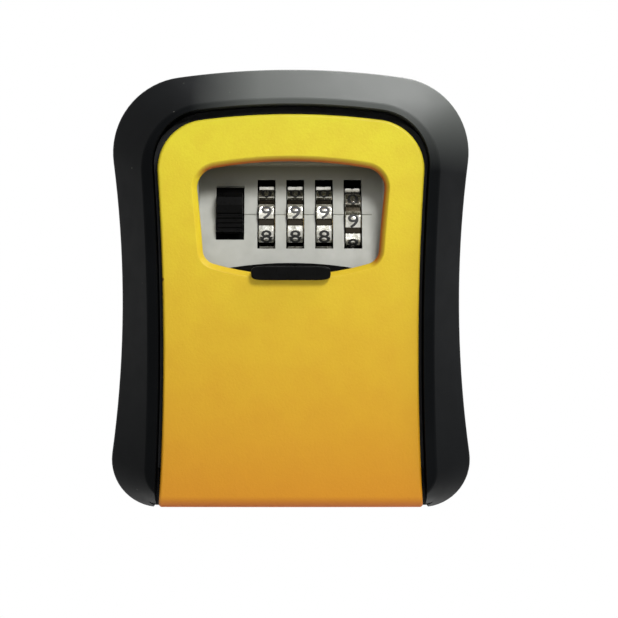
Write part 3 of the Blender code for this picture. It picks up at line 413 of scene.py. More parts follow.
@dataclass(frozen=True)
class WorkedMetal:
    """Bare or plated metal, brushed or polished along one axis."""

    name: str
    colour: Colour
    shade: Colour
    roughness: float
    stretch: Colour = (1.0, 1.0, 1.0)
    brush_depth: float = 0.003 * MM
    brush_size: float = 0.3 * MM

    def make(self) -> bpy.types.Material:
        """Build the material.

        Returns:
            The finished material.
        """
        sheet = Sheet(self.name)
        sheet.plain(self.colour, self.roughness, metallic=1.0)
        patch = sheet.spread(sheet.grain(3 * MM, 4.0), 0.0, 1.0, (0.4, 0.75))
        sheet.link(sheet.blend(patch, self.colour, self.shade), sheet.shader.inputs["Base Color"])
        brush = sheet.grain(self.brush_size, 3.0, self.stretch)
        sheet.link(sheet.spread(brush, self.roughness * 0.7, self.roughness * 1.4),
                   sheet.shader.inputs["Roughness"])
        sheet.bump((brush, self.brush_depth))
        return sheet.material


@dataclass(frozen=True)
class DialPlating:
    """Bright plating on the dials' pads, with painted shade darkening the grooves between them."""

    name: str = "dial_plating"
    bright: Colour = (0.56, 0.55, 0.50)
    worn: Colour = (0.32, 0.31, 0.26)
    # Colour of painted shade in the grooves, standing in for the dark reflections there.
    painted_groove_shade: Colour = (0.035, 0.030, 0.022)
    radius: float = 10.3 * MM

    def make(self) -> bpy.types.Material:
        """Build the material.

        Returns:
            The finished material.
        """
        sheet = Sheet(self.name)
        sheet.plain(self.bright, 0.2, metallic=1.0)
        low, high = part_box("spindle")
        centre = sheet.add("ShaderNodeVectorMath", operation="SUBTRACT")
        sheet.link(sheet.place, centre.inputs[0])
        centre.inputs[1].default_value = [(first + last) / 2 for first, last in zip(low, high)]
        flat = sheet.add("ShaderNodeVectorMath", operation="MULTIPLY")
        sheet.link(centre.outputs["Vector"], flat.inputs[0])
        flat.inputs[1].default_value = (0.0, 1.0, 1.0)
        length = sheet.add("ShaderNodeVectorMath", operation="LENGTH")
        sheet.link(flat.outputs["Vector"], length.inputs[0])
        # Share of painted shade, full in the grooves below the pads.
        depth = sheet.spread(length.outputs["Value"], 1.0, 0.0,
                             (self.radius - 1.12 * MM, self.radius - 0.9 * MM))
        patch = sheet.spread(sheet.grain(1.6 * MM, 5.0), 0.0, 1.0, (0.42, 0.68))
        pad = sheet.blend(patch, self.bright, self.worn)
        sheet.link(sheet.blend(depth, pad, self.painted_groove_shade), sheet.shader.inputs["Base Color"])
        sheet.link(sheet.spread(sheet.grain(0.9 * MM, 4.0), 0.14, 0.32), sheet.shader.inputs["Roughness"])
        sheet.bump((sheet.grain(0.7 * MM, 3.0), 0.012 * MM))
        return sheet.material


@dataclass(frozen=True)
class Casting:
    """Painted die casting, slightly rough."""

    name: str = "case_casting"
    colour: Colour = (0.010, 0.0105, 0.011)
    shade: Colour = (0.018, 0.0185, 0.019)

    def make(self) -> bpy.types.Material:
        """Build the material.

        Returns:
            The finished material.
        """
        sheet = Sheet(self.name)
        sheet.plain(self.colour, 0.5, specular=0.15)
        patch = sheet.spread(sheet.grain(5 * MM, 5.0), 0.0, 1.0)
        sheet.link(sheet.blend(patch, self.colour, self.shade), sheet.shader.inputs["Base Color"])
        sheet.link(sheet.spread(sheet.grain(1.5 * MM), 0.42, 0.6), sheet.shader.inputs["Roughness"])
        sheet.bump((sheet.grain(0.6 * MM, 3.0), 0.03 * MM))
        return sheet.material


class Coat(Enum):
    """The finishes of this key safe, each with the record's slot it belongs to."""

    MOULDING = "shroud_moulding"
    DOOR = "door_coating"
    FACEPLATE = "faceplate_grey"
    BLACK = "black_plastic"
    CASE = "case_casting"
    STEEL = "plain_steel"
    BRASS = "cam_brass"
    DIAL = "dial_plating"
    INK = "numeral_ink"


class PaintShop:
    """Makes each finish once and puts it on pieces."""

    RECIPES = {
        Coat.MOULDING: SatinMoulding(),
        Coat.DOOR: PowderCoat(),
        # The faceplate's extra colour is painted shade at the top of the recess, under the door.
        Coat.FACEPLATE: FinePlastic("faceplate_grey", (0.50, 0.505, 0.46), (0.44, 0.445, 0.40), 0.5,
                                    painted_shade=(0.17, 0.16, 0.11)),
        Coat.BLACK: FinePlastic("black_plastic", (0.0022, 0.0022, 0.002), (0.004, 0.004, 0.004), 0.3, 0.04,
                                0.004 * MM),
        Coat.CASE: Casting(),
        Coat.STEEL: WorkedMetal("plain_steel", (0.56, 0.57, 0.58), (0.45, 0.46, 0.48), 0.32,
                                (0.15, 1.0, 1.0)),
        Coat.BRASS: WorkedMetal("cam_brass", (0.76, 0.58, 0.28), (0.62, 0.45, 0.20), 0.3),
        Coat.DIAL: DialPlating(),
        Coat.INK: FinePlastic("numeral_ink", (0.006, 0.006, 0.006), (0.012, 0.012, 0.011), 0.4),
    }

    def __init__(self) -> None:
        """Start with no material made."""
        self.made: dict[Coat, bpy.types.Material] = {}

    def material(self, coat: Coat) -> bpy.types.Material:
        """The material of a finish, made at its first use.

        Args:
            coat: The finish.

        Returns:
            Its material.
        """
        if coat not in self.made:
            self.made[coat] = self.RECIPES[coat].make()
        return self.made[coat]

    def dress(self, piece: bpy.types.Object, coat: Coat) -> None:
        """Give a piece one finish all over.

        Args:
            piece: The piece.
            coat: The finish.
        """
        piece.data.materials.clear()
        piece.data.materials.append(self.material(coat))


# ---------------------------------------------------------------- bench tools

def deselect() -> None:
    """Select nothing, in object mode."""
    if bpy.context.object and bpy.context.object.mode != "OBJECT":
        bpy.ops.object.mode_set(mode="OBJECT")
    bpy.ops.object.select_all(action="DESELECT")


def take(piece: bpy.types.Object) -> None:
    """Select one piece alone and make it active.

    Args:
        piece: The piece.
    """
    deselect()
    piece.select_set(True)
    bpy.context.view_layer.objects.active = piece


def draw_through(name: str, loops: list[list[Vector]]) -> bpy.types.Object:
    """A closed solid drawn by extruding a filled ring from loop to loop.

    Args:
        name: Name of the piece.
        loops: Loops of points, all with the same number.

    Returns:
        The piece, with its faces turned outwards.
    """
    deselect()
    bpy.ops.mesh.primitive_circle_add(vertices=len(loops[0]), radius=1.0, fill_type="NGON")
    piece = bpy.context.object
    piece.name = piece.data.name = name
    bpy.ops.object.mode_set(mode="EDIT")
    mesh = bmesh.from_edit_mesh(piece.data)
    mesh.faces.ensure_lookup_table()
    for vertex, point in zip(mesh.faces[0].verts, loops[0]):
        vertex.co = point
    bmesh.update_edit_mesh(piece.data)
    for previous, loop in zip(loops, loops[1:]):
        bpy.ops.mesh.extrude_region_move()
        mesh = bmesh.from_edit_mesh(piece.data)
        moved = {tuple(round(value, 7) for value in start): end for start, end in zip(previous, loop)}
        for vertex in mesh.verts:
            if vertex.select:
                vertex.co = moved[tuple(round(value, 7) for value in vertex.co)]
        bmesh.update_edit_mesh(piece.data)
    bpy.ops.mesh.select_all(action="SELECT")
    bpy.ops.mesh.normals_make_consistent(inside=False)
    bpy.ops.object.mode_set(mode="OBJECT")
    return piece


def bar(name: str, x_range: tuple[float, float], profile: list[tuple[float, float]]) -> bpy.types.Object:
    """A profile of (y, z) points drawn out along X."""
    return draw_through(name, [[Vector((x, y, z)) for y, z in profile] for x in x_range])


def block(name: str, x_range: tuple[float, float], y_range: tuple[float, float],
          z_range: tuple[float, float]) -> bpy.types.Object:
    """A rectangular block between the given ranges."""
    (front, rear), (low, high) = y_range, z_range
    return bar(name, x_range, [(front, low), (rear, low), (rear, high), (front, high)])


def rod(name: str, start: Vector, end: Vector, radius: float, sides: int = 48) -> bpy.types.Object:
    """A round rod, made as a cylinder primitive at its size and place.

    Args:
        name: Name of the piece.
        start: Middle of one end.
        end: Middle of the other end.
        radius: Radius.
        sides: Number of sides.

    Returns:
        The rod, with its place in its mesh.
    """
    deselect()
    line = end - start
    bpy.ops.mesh.primitive_cylinder_add(vertices=sides, radius=radius, depth=line.length,
                                        location=(start + end) / 2,
                                        rotation=line.to_track_quat("Z", "Y").to_euler())
    piece = bpy.context.object
    piece.name = piece.data.name = name
    bpy.ops.object.transform_apply(location=True, rotation=True, scale=True)
    return piece


class Cut(Enum):
    """What a Boolean does."""

    AWAY = "DIFFERENCE"
    ON = "UNION"


def shape(piece: bpy.types.Object, how: Cut, *others: bpy.types.Object) -> None:
    """Cut other pieces away from a piece or grow them onto it, and use them up.

    Args:
        piece: The piece that is shaped.
        how: Away or on.
        others: The pieces it is shaped with.
    """
    for other in others:
        take(piece)
        boolean = piece.modifiers.new("shape", "BOOLEAN")
        boolean.operation = how.value
        boolean.solver = "MANIFOLD"
        boolean.object = other
        bpy.ops.object.modifier_apply(modifier=boolean.name)
        bpy.data.objects.remove(other, do_unlink=True)


def soften(piece: bpy.types.Object, width: float, segments: int = 2, sharp: float = 32.0,
           flats: bool = True) -> None:
    """Round a piece's sharp edges and shade it.

    Args:
        piece: The piece.
        width: Width of the rounding.
        segments: Faces across it.
        sharp: Least angle, in degrees, of an edge that is rounded.
        flats: Whether the faces of each flat are merged first.
    """
    take(piece)
    bpy.ops.object.mode_set(mode="EDIT")
    bpy.ops.mesh.select_all(action="SELECT")
    bpy.ops.mesh.remove_doubles(threshold=WELD)
    if flats:
        bpy.ops.mesh.dissolve_limited(angle_limit=math.radians(0.4))
    bpy.ops.object.mode_set(mode="OBJECT")
    if width > 0:
        bevel = piece.modifiers.new("edges", "BEVEL")
        bevel.width = width
        bevel.segments = segments
        bevel.limit_method = "ANGLE"
        bevel.angle_limit = math.radians(sharp)
        bevel.use_clamp_overlap = True
        bevel.miter_outer = "MITER_ARC"
        bpy.ops.object.modifier_apply(modifier=bevel.name)
    bpy.ops.object.shade_smooth_by_angle(angle=math.radians(sharp), keep_sharp_edges=False)
    weighted = piece.modifiers.new("normals", "WEIGHTED_NORMAL")
    weighted.keep_sharp = True
    bpy.ops.object.modifier_apply(modifier=weighted.name)


def fit(piece: bpy.types.Object, body: str, slot: Coat, *nodes: str) -> None:
    """Hang a finished piece on its body, in place of the nodes it stands for.

    Args:
        piece: The piece.
        body: Body that it moves with.
        slot: The piece's finish; not used.
        nodes: Nodes that it replaces.
    """
    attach(piece, body)
    if nodes:
        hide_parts(*nodes)
    LOG.info("%s on %s: %d faces", piece.name, body, len(piece.data.polygons))


# ---------------------------------------------------------------- outlines

@dataclass(frozen=True)
class Outline:
    """Outline in the XZ plane, symmetric about Z, of arcs that run into each other."""

    top: float
    crown: float
    corner: float
    waist: float
    waist_z: float
    side: float
    bottom: float
    base: float
    heel: float

    def grown(self, margin: float) -> Outline:
        """The same outline moved outwards all round.

        Args:
            margin: How far it moves; inwards below 0.

        Returns:
            The new outline.
        """
        least = 0.3 * MM
        return Outline(self.top + margin, self.crown + margin, max(self.corner + margin, least),
                       self.waist + margin, self.waist_z, self.side - margin,
                       self.bottom - margin, self.base + margin, max(self.heel + margin, least))

    def points(self, fineness: int = 3) -> list[Vector]:
        """Points round the outline, from the middle of the crown clockwise.

        Args:
            fineness: Multiplies the number of points on each arc.

        Returns:
            The points, as 2-D vectors of X and Z.
        """
        crown_at = Vector((0.0, self.top - self.crown))
        base_at = Vector((0.0, self.bottom + self.base))
        side_at = Vector((self.waist + self.side, self.waist_z))
        corner_at = self.meeting(crown_at, self.crown - self.corner, side_at,
                                 self.side + self.corner, 1)
        heel_at = self.meeting(base_at, self.base - self.heel, side_at, self.side + self.heel, -1)
        turns = [(crown_at, self.crown, math.pi / 2, self.bearing(crown_at, corner_at), 5),
                 (corner_at, self.corner, self.bearing(crown_at, corner_at),
                  self.bearing(corner_at, side_at), 6),
                 (side_at, self.side, self.bearing(side_at, corner_at) % math.tau,
                  self.bearing(side_at, heel_at) % math.tau, 6),
                 (heel_at, self.heel, self.bearing(heel_at, side_at),
                  self.bearing(base_at, heel_at), 5),
                 (base_at, self.base, self.bearing(base_at, heel_at), -math.pi / 2, 3)]
        half: list[Vector] = []
        for centre, radius, start, end, steps in turns:
            count = steps * fineness
            for step in range(count):
                angle = start + (end - start) * step / count
                half.append(centre + radius * Vector((math.cos(angle), math.sin(angle))))
        lowest = Vector((0.0, self.bottom))
        return half + [lowest] + [Vector((-point.x, point.y)) for point in reversed(half[1:])]

    def at(self, depth: float, fineness: int = 3) -> list[Vector]:
        """The points at one depth, in space."""
        return [Vector((point.x, depth, point.y)) for point in self.points(fineness)]

    @staticmethod
    def bearing(start: Vector, end: Vector) -> float:
        """Angle of the direction from start to end."""
        return math.atan2(end.y - start.y, end.x - start.x)

    @staticmethod
    def meeting(first: Vector, first_radius: float, second: Vector, second_radius: float,
                up: int) -> Vector:
        """Where two circles meet.

        Args:
            first: Centre of the first circle.
            first_radius: Its radius.
            second: Centre of the second circle.
            second_radius: Its radius.
            up: 1 for the upper meeting point, -1 for the lower one.

        Returns:
            The meeting point.
        """
        line = second - first
        along = (first_radius ** 2 - second_radius ** 2 + line.length_squared) / (2 * line.length)
        across = math.sqrt(first_radius ** 2 - along ** 2)
        line.normalize()
        foot = first + line * along
        offset = Vector((-line.y, line.x)) * across
        return max((foot + offset, foot - offset), key=lambda point: up * point.y)


def slab(name: str, outline: Outline, front: float, rear: float) -> bpy.types.Object:
    """An outline given thickness between two depths."""
    return draw_through(name, [outline.at(front), outline.at(rear)])


@dataclass
class Plan:
    """Outlines of the key safe, placed from the boxes of its nodes."""

    shell: Outline = field(init=False)
    lip: Outline = field(init=False)
    door: Outline = field(init=False)
    opening: Outline = field(init=False)
    crease: Outline = field(init=False)
    window: Outline = field(init=False)
    flat: float = 20.0
    door_waist: float = 32.8 * MM
    border: float = 11.6 * MM
    window_drop: float = 10.8 * MM
    window_height: float = 31.7 * MM

    def __post_init__(self) -> None:
        """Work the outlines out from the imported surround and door."""
        low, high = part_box("shroud")
        door_low, door_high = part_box("door_panel")
        self.shell = Outline(high[2], 215 * MM, 20 * MM, self.door_waist + self.border, -3.7 * MM,
                             290 * MM, low[2], self.flat, 12.6 * MM)
        self.lip = Outline(door_high[2], 142 * MM, 9.5 * MM, self.door_waist, -16 * MM, 700 * MM,
                           door_low[2], self.flat, 0.8 * MM)
        self.door = replace(self.lip, crown=180 * MM, corner=12.8 * MM)
        self.opening = replace(self.door.grown(1.2 * MM), top=door_high[2] + 2.5 * MM, heel=4 * MM)
        self.crease = replace(self.door.grown(3.9 * MM), top=door_high[2] + 4.0 * MM,
                              bottom=low[2] + 3.2 * MM, heel=7.5 * MM)
        top = door_high[2] - self.window_drop
        self.window = Outline(top, 115 * MM, 6.5 * MM, 23.0 * MM, -16.2 * MM, 372 * MM,
                              top - self.window_height, 72 * MM, 5 * MM)


# ---------------------------------------------------------------- pieces

@dataclass
class Surround:
    """The moulded surround: a hollow channel with a broad bevel, its upper part lit by a painted highlight
    in its material.
    """

    plan: Plan
    shop: PaintShop
    wall: float = 2.0 * MM
    land_drop: float = 1.0 * MM
    bevel_depth: float = 12.5 * MM
    shoulder: float = 1.1 * MM
    ridge_round: float = 0.8 * MM
    seat_border: float = 1.5 * MM
    seat_gap: float = 0.3 * MM
    boss_half: float = 4 * MM

    def build(self) -> None:
        """Model the surround and put it in the place of its node."""
        low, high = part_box("shroud")
        ridge_y, rear_y = low[1], high[1]
        crease_y, bevel_y = ridge_y + self.land_drop, ridge_y + self.bevel_depth
        shell, crease, opening = self.plan.shell, self.plan.crease, self.plan.opening
        ridge = replace(opening, bottom=crease.bottom + 2 * MM)
        loops = [shell.at(rear_y), shell.at(bevel_y + self.shoulder)]
        loops += self.rounded(shell.at(bevel_y + self.shoulder), shell.at(bevel_y), crease.at(crease_y),
                              self.shoulder)
        loops += self.rounded(shell.at(bevel_y), crease.at(crease_y), ridge.at(ridge_y),
                              self.ridge_round)
        loops += [ridge.at(ridge_y)]
        piece = draw_through("surround", loops)
        inside = shell.grown(-self.wall)
        channel = draw_through("channel", [inside.at(1 * MM), inside.at(bevel_y + 0.3 * MM),
                                           crease.grown(-0.4 * MM).at(crease_y + self.wall)])
        beyond = shell.bottom * 2
        shape(channel, Cut.AWAY, slab("core", replace(opening.grown(self.wall), bottom=beyond),
                                      ridge_y - 1 * MM, 2 * MM))
        shape(piece, Cut.AWAY, channel)
        seat = replace(self.plan.lip.grown(self.wall + self.seat_border),
                       top=opening.top + self.wall + self.seat_gap,
                       bottom=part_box("case_body")[0][2] - self.seat_gap, heel=2.3 * MM)
        self.add_bosses(piece)
        rim_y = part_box("door_panel")[0][1] + RIM_DEPTH
        shape(piece, Cut.AWAY, slab("mouth", replace(opening, bottom=beyond), ridge_y - 1 * MM, 1 * MM))
        shape(piece, Cut.AWAY, slab("seat", seat, rim_y - self.seat_gap, 1 * MM))
        self.nick_the_legs(piece)
        soften(piece, 0.22 * MM, 2, 40.0)
        self.shop.dress(piece, Coat.MOULDING)
        fit(piece, "case", Coat.MOULDING, "shroud")

    @staticmethod
    def rounded(before: list[Vector], corner: list[Vector], after: list[Vector],
                reach: float, steps: int = 4) -> list[list[Vector]]:
        """Loops that round the corner between two surfaces.

        Args:
            before: Loop before the corner.
            corner: Loop on the corner.
            after: Loop after the corner.
            reach: How far the rounding reaches to each side.
            steps: Number of steps across it.

        Returns:
            The loops across the rounding.
        """
        loops = []
        for step in range(1, steps + 1):
            share = step / (steps + 1)
            ring = []
            for first, middle, last in zip(before, corner, after):
                start = middle + (first - middle).normalized() * min(reach, (first - middle).length * 0.45)
                end = middle + (last - middle).normalized() * min(reach, (last - middle).length * 0.45)
                ring.append(start.lerp(middle, share).lerp(middle.lerp(end, share), share))
            loops.append(ring)
        return loops

    def add_bosses(self, piece: bpy.types.Object) -> None:
        """Grow the four screw bosses into the channel.

        Args:
            piece: The surround.
        """
        for number in range(1, 5):
            low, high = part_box(f"shroud_screw_{number}")
            side = 1 if low[0] > 0 else -1
            y, z = (low[1] + high[1]) / 2, (low[2] + high[2]) / 2
            inner = max(abs(low[0]), abs(high[0])) - 6.0 * MM
            reach = sorted((side * inner, side * (self.plan.shell.waist - self.wall / 2)))
            shape(piece, Cut.ON, block("boss", tuple(reach), (y - self.boss_half, y + self.boss_half),
                                       (z - self.boss_half, z + self.boss_half)))

    def nick_the_legs(self, piece: bpy.types.Object) -> None:
        """Chamfer the inner lower corners of the two legs.

        Args:
            piece: The surround.
        """
        bottom = self.plan.shell.bottom
        edge = self.plan.opening.waist + 1.0 * MM
        for side in (-1, 1):
            wedge = [Vector((side * (edge - 3 * MM), bottom - 1 * MM)),
                     Vector((side * (edge + 2.1 * MM), bottom - 1 * MM)),
                     Vector((side * (edge - 3 * MM), bottom + 5.6 * MM))]
            shape(piece, Cut.AWAY, draw_through("nick", [
                [Vector((point.x, y, point.y)) for point in wedge] for y in (-0.05, 0.01)]))


@dataclass
class Door:
    """The coated door: plate with rolled lower edge, window, flange, knuckles and bosses."""

    plan: Plan
    shop: PaintShop
    plate: float = 2.2 * MM
    edge: float = 0.8 * MM
    roll: float = 2.4 * MM

    def build(self) -> None:
        """Model the door and put it in the place of its node."""
        low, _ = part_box("door_panel")
        front, rear = low[1], low[1] + self.plate
        outline = self.plan.door
        loops = [outline.at(rear)]
        for step in range(7):
            angle = math.pi / 2 * step / 6
            inset = self.edge * (1 - math.cos(angle))
            depth = front + self.edge * (1 - math.sin(angle))
            lifted = outline.grown(-inset)
            lift = (self.roll - self.edge) * (1 - math.cos(angle))
            loops.append(replace(lifted, bottom=lifted.bottom + lift).at(depth))
        piece = draw_through("coated_door", loops)
        self.add_flange(piece, rear)
        self.add_hinge(piece, rear)
        self.add_bosses(piece, rear)
        self.cut_window(piece, front, rear)
        soften(piece, 0.2 * MM, 2, 34.0)
        self.shop.dress(piece, Coat.DOOR)
        fit(piece, "door", Coat.DOOR, "door_panel")

    def add_flange(self, piece: bpy.types.Object, rear: float) -> None:
        """Grow the flange round the door's rear.

        Args:
            piece: The door.
            rear: Depth of the plate's rear face.
        """
        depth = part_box("door_panel")[1][1]
        outline = self.plan.door
        flange = slab("flange", outline.grown(-2.1 * MM), rear - self.plate / 2, rear + 5 * MM)
        shape(flange, Cut.AWAY, slab("flange_hollow", outline.grown(-3.7 * MM), rear - 6 * MM, 0.0))
        hinge_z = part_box("hinge_pin")[1][2] - 1.5 * MM
        shape(flange, Cut.AWAY, block("flange_hem", (-0.05, 0.05), (rear - 6 * MM, depth + 10 * MM),
                                      (-0.08, hinge_z + 4.5 * MM)))
        shape(piece, Cut.ON, flange)

    @staticmethod
    def add_hinge(piece: bpy.types.Object, rear: float) -> None:
        """Grow the two knuckles and bore them for the pin.

        Args:
            piece: The door.
            rear: Depth of the plate's rear face.
        """
        low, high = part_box("hinge_pin")
        y, z = (low[1] + high[1]) / 2, (low[2] + high[2]) / 2
        for left, right in ((-25.7 * MM, -15 * MM), (15 * MM, 25.7 * MM)):
            shape(piece, Cut.ON,
                  rod("knuckle", Vector((left, y, z)), Vector((right, y, z)), 3 * MM),
                  block("knuckle_web", (left, right), (rear - 1.1 * MM, y), (z - 1.5 * MM, z + 3 * MM)))
        shape(piece, Cut.AWAY, rod("bore", Vector((-26 * MM, y, z)), Vector((26 * MM, y, z)), 1.8 * MM))

    @staticmethod
    def add_bosses(piece: bpy.types.Object, rear: float) -> None:
        """Grow the screw bosses and drill them.

        Args:
            piece: The door.
            rear: Depth of the plate's rear face.
        """
        ends = {"cover_screw_": (4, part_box("mechanism_cover")[0][1] - 0.3 * MM),
                "guide_screw_": (2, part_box("faceplate")[0][1] - 0.3 * MM)}
        for stem, (count, end) in ends.items():
            for number in range(1, count + 1):
                low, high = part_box(f"{stem}{number}")
                x, z = (low[0] + high[0]) / 2, (low[2] + high[2]) / 2
                shape(piece, Cut.ON, rod("boss", Vector((x, rear - 1.1 * MM, z)), Vector((x, end, z)),
                                         2.2 * MM, 32))
                shape(piece, Cut.AWAY, rod("pilot", Vector((x, rear - 0.4 * MM, z)),
                                           Vector((x, end + 2 * MM, z)), 1.5 * MM, 32))

    def cut_window(self, piece: bpy.types.Object, front: float, rear: float) -> None:
        """Cut the window with a rolled edge that narrows inwards.

        Args:
            piece: The door.
            front: Depth of the plate's front face.
            rear: Depth of its rear face.
        """
        window = self.plan.window
        funnel = ((1.0, -1.0), (0.35, -0.02), (0.12, 0.04), (0.0, 0.14), (-0.12, 0.30),
                  (-1.0, 1.30), (-1.12, 1.46), (-1.2, 1.64), (-1.22, 1.85))
        loops = [window.grown(grow * MM).at(front + depth * MM) for grow, depth in funnel]
        loops.append(window.grown(funnel[-1][0] * MM).at(rear + 1 * MM))
        shape(piece, Cut.AWAY, draw_through("window_cut", loops))


@dataclass
class Shutter:
    """The sliding shutter with a curved crest and a rounded grip in front of the door."""

    shop: PaintShop
    crest: float = 100 * MM
    show: float = 0.6 * MM
    grip_half: float = 10.2 * MM
    grip_low: float = 2.1 * MM
    grip_high: float = 5.75 * MM
    stem_half: float = 7.0 * MM
    stem: float = 1.3 * MM
    plate: float = 1.2 * MM

    def build(self) -> None:
        """Model the shutter and put it in the place of its node."""
        low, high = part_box("shutter")
        rear, half = high[1], high[0]
        top = high[2] - 0.3 * MM + self.show
        spread = math.asin(half / self.crest)
        outline = [Vector((-half, low[2]))]
        for step in range(41):
            angle = math.pi / 2 + spread - 2 * spread * step / 40
            outline.append(Vector((self.crest * math.cos(angle),
                                   top - self.crest + self.crest * math.sin(angle))))
        outline.append(Vector((half, low[2])))
        piece = draw_through("shutter_and_grip", [[Vector((point.x, y, point.y)) for point in outline]
                                                  for y in (rear - self.plate, rear)])
        shape(piece, Cut.ON, self.grip(low[1]),
              block("stem", (-self.stem_half, self.stem_half), (low[1] + 0.8 * MM, rear - 0.6 * MM),
                    (self.grip_high - self.stem - 0.1 * MM, self.grip_high - 0.1 * MM)))
        soften(piece, 0.18 * MM, 3, 30.0)
        self.shop.dress(piece, Coat.BLACK)
        fit(piece, "shutter", Coat.BLACK, "shutter")

    def grip(self, front: float) -> bpy.types.Object:
        """The grip, a long tab crowned at the front.

        Args:
            front: Depth of its front face.

        Returns:
            The grip.
        """
        middle = (self.grip_low + self.grip_high) / 2
        rise = (self.grip_high - self.grip_low) / 2
        loops = []
        for share, y in ((1.0, front + 1.7 * MM), (1.0, front + 0.6 * MM), (0.96, front + 0.2 * MM),
                         (0.86, front + 0.02 * MM)):
            ring = []
            for step in range(96):
                angle = math.tau * step / 96
                wide = math.copysign(abs(math.cos(angle)) ** 0.22, math.cos(angle))
                tall = math.copysign(abs(math.sin(angle)) ** 0.55, math.sin(angle))
                inset = (1 - share) * rise * 2
                ring.append(Vector((wide * (self.grip_half - inset), y, middle + tall * (rise - inset))))
            loops.append(ring)
        return draw_through("grip", loops)


@dataclass
class Dials:
    """The four plated dials with engraved, ink-filled numerals."""

    shop: PaintShop
    count: int = 4
    digits: int = 10
    radius: float = 10.3 * MM
    width: float = 4.2 * MM
    bore: float = 3.9 * MM
    profile: tuple[tuple[float, float], ...] = (
        (0.2, -9.6), (0.0, -9.1), (0.0, -4.5), (0.0, 0.0), (0.0, 4.5), (0.0, 8.8), (0.08, 9.4),
        (0.85, 16.4), (1.2, 17.2), (1.2, 21.2), (1.2, 25.6))
    chamfer: float = 0.22 * MM
    tilt: float = math.radians(16.0)
    last_turn: float = math.radians(13.0)
    numeral_height: float = 3.45 * MM
    numeral_stretch: float = 1.3
    stroke: float = 0.06 * MM
    engraved: float = 0.22 * MM
    fill: float = 0.06 * MM

    def build(self) -> None:
        """Model one dial and its numerals, and copy both to the four places."""
        low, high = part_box("spindle")
        axis = Vector((0.0, (low[1] + high[1]) / 2, (low[2] + high[2]) / 2))
        blank = self.blank()
        cutter = self.numerals("cutter", self.radius - self.engraved, self.radius + 1 * MM)
        shape(blank, Cut.AWAY, cutter)
        soften(blank, 0.05 * MM, 2, 28.0)
        ink = self.numerals("ink", self.radius - self.engraved - 0.05 * MM, self.radius - self.fill)
        take(ink)
        bpy.ops.object.shade_smooth_by_angle(angle=math.radians(30.0))
        for index in range(self.count):
            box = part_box(f"dial_{index + 1}")
            turn = self.last_turn if index == self.count - 1 else 0.0
            place = (Matrix.Translation(axis + Vector(((box[0][0] + box[1][0]) / 2, 0.0, 0.0)))
                     @ Matrix.Rotation(turn - self.tilt, 4, "X"))
            for source, name, coat, nodes in ((blank, "wheel", Coat.DIAL, (f"dial_{index + 1}",)),
                                              (ink, "numerals", Coat.INK, ())):
                piece = source.copy()
                piece.data = source.data.copy()
                piece.name = piece.data.name = f"{name}_{index + 1}"
                bpy.context.scene.collection.objects.link(piece)
                piece.data.transform(place)
                self.shop.dress(piece, coat)
                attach(piece, f"dial_{index + 1}")
                if nodes:
                    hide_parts(*nodes)
                LOG.info("%s: %d faces", piece.name, len(piece.data.polygons))
        for source in (blank, ink):
            bpy.data.objects.remove(source, do_unlink=True)

    def blank(self) -> bpy.types.Object:
        """A dial without numerals, about the X axis with a pad's middle at the front.

        Returns:
            The dial.
        """
        step = math.tau / self.digits
        rim = [(self.radius - drop * MM, digit * step + math.radians(degrees))
               for digit in range(self.digits) for drop, degrees in self.profile]
        half = self.width / 2
        loops = []
        for x, inset in ((-half, self.chamfer), (-half + self.chamfer, 0.0),
                         (half - self.chamfer, 0.0), (half, self.chamfer)):
            loops.append([Vector((x, -(radius - inset) * math.cos(angle),
                                  (radius - inset) * math.sin(angle))) for radius, angle in rim])
        dial = draw_through("dial_blank", loops)
        shape(dial, Cut.AWAY, rod("dial_bore", Vector((-half - 1 * MM, 0, 0)),
                                  Vector((half + 1 * MM, 0, 0)), self.bore, 48))
        return dial

    def numerals(self, name: str, inner: float, outer: float) -> bpy.types.Object:
        """Ten numerals wrapped round the dial, between two radii.

        Args:
            name: Name of the result.
            inner: Radius of their undersides.
            outer: Radius of their faces.

        Returns:
            One piece that holds the ten numerals.
        """
        pieces = []
        for digit in range(self.digits):
            deselect()
            bpy.ops.object.text_add()
            text = bpy.context.object
            text.data.body = str((9 + digit) % self.digits)
            text.data.align_x, text.data.align_y = "CENTER", "CENTER"
            text.data.size = self.numeral_height / 0.72
            text.data.extrude = 0.5
            text.data.resolution_u = 6
            text.data.offset = self.stroke
            bpy.ops.object.convert(target="MESH")
            piece = bpy.context.object
            low = [min(vertex.co[axis] for vertex in piece.data.vertices) for axis in range(2)]
            high = [max(vertex.co[axis] for vertex in piece.data.vertices) for axis in range(2)]
            centre = [(first + last) / 2 for first, last in zip(low, high)]
            angle = digit * math.tau / self.digits
            for vertex in piece.data.vertices:
                radius = outer if vertex.co.z > 0 else inner
                turn = angle + (vertex.co.y - centre[1]) / self.radius
                across = (vertex.co.x - centre[0]) * self.numeral_stretch
                vertex.co = Vector((across, -radius * math.cos(turn), radius * math.sin(turn)))
            pieces.append(piece)
        deselect()
        for piece in pieces:
            piece.select_set(True)
        bpy.context.view_layer.objects.active = pieces[0]
        bpy.ops.object.join()
        joined = bpy.context.object
        joined.name = joined.data.name = name
        bpy.ops.object.mode_set(mode="EDIT")
        bpy.ops.mesh.select_all(action="SELECT")
        bpy.ops.mesh.remove_doubles(threshold=0.002 * MM)
        bpy.ops.mesh.normals_make_consistent(inside=False)
        bpy.ops.object.mode_set(mode="OBJECT")
        return joined


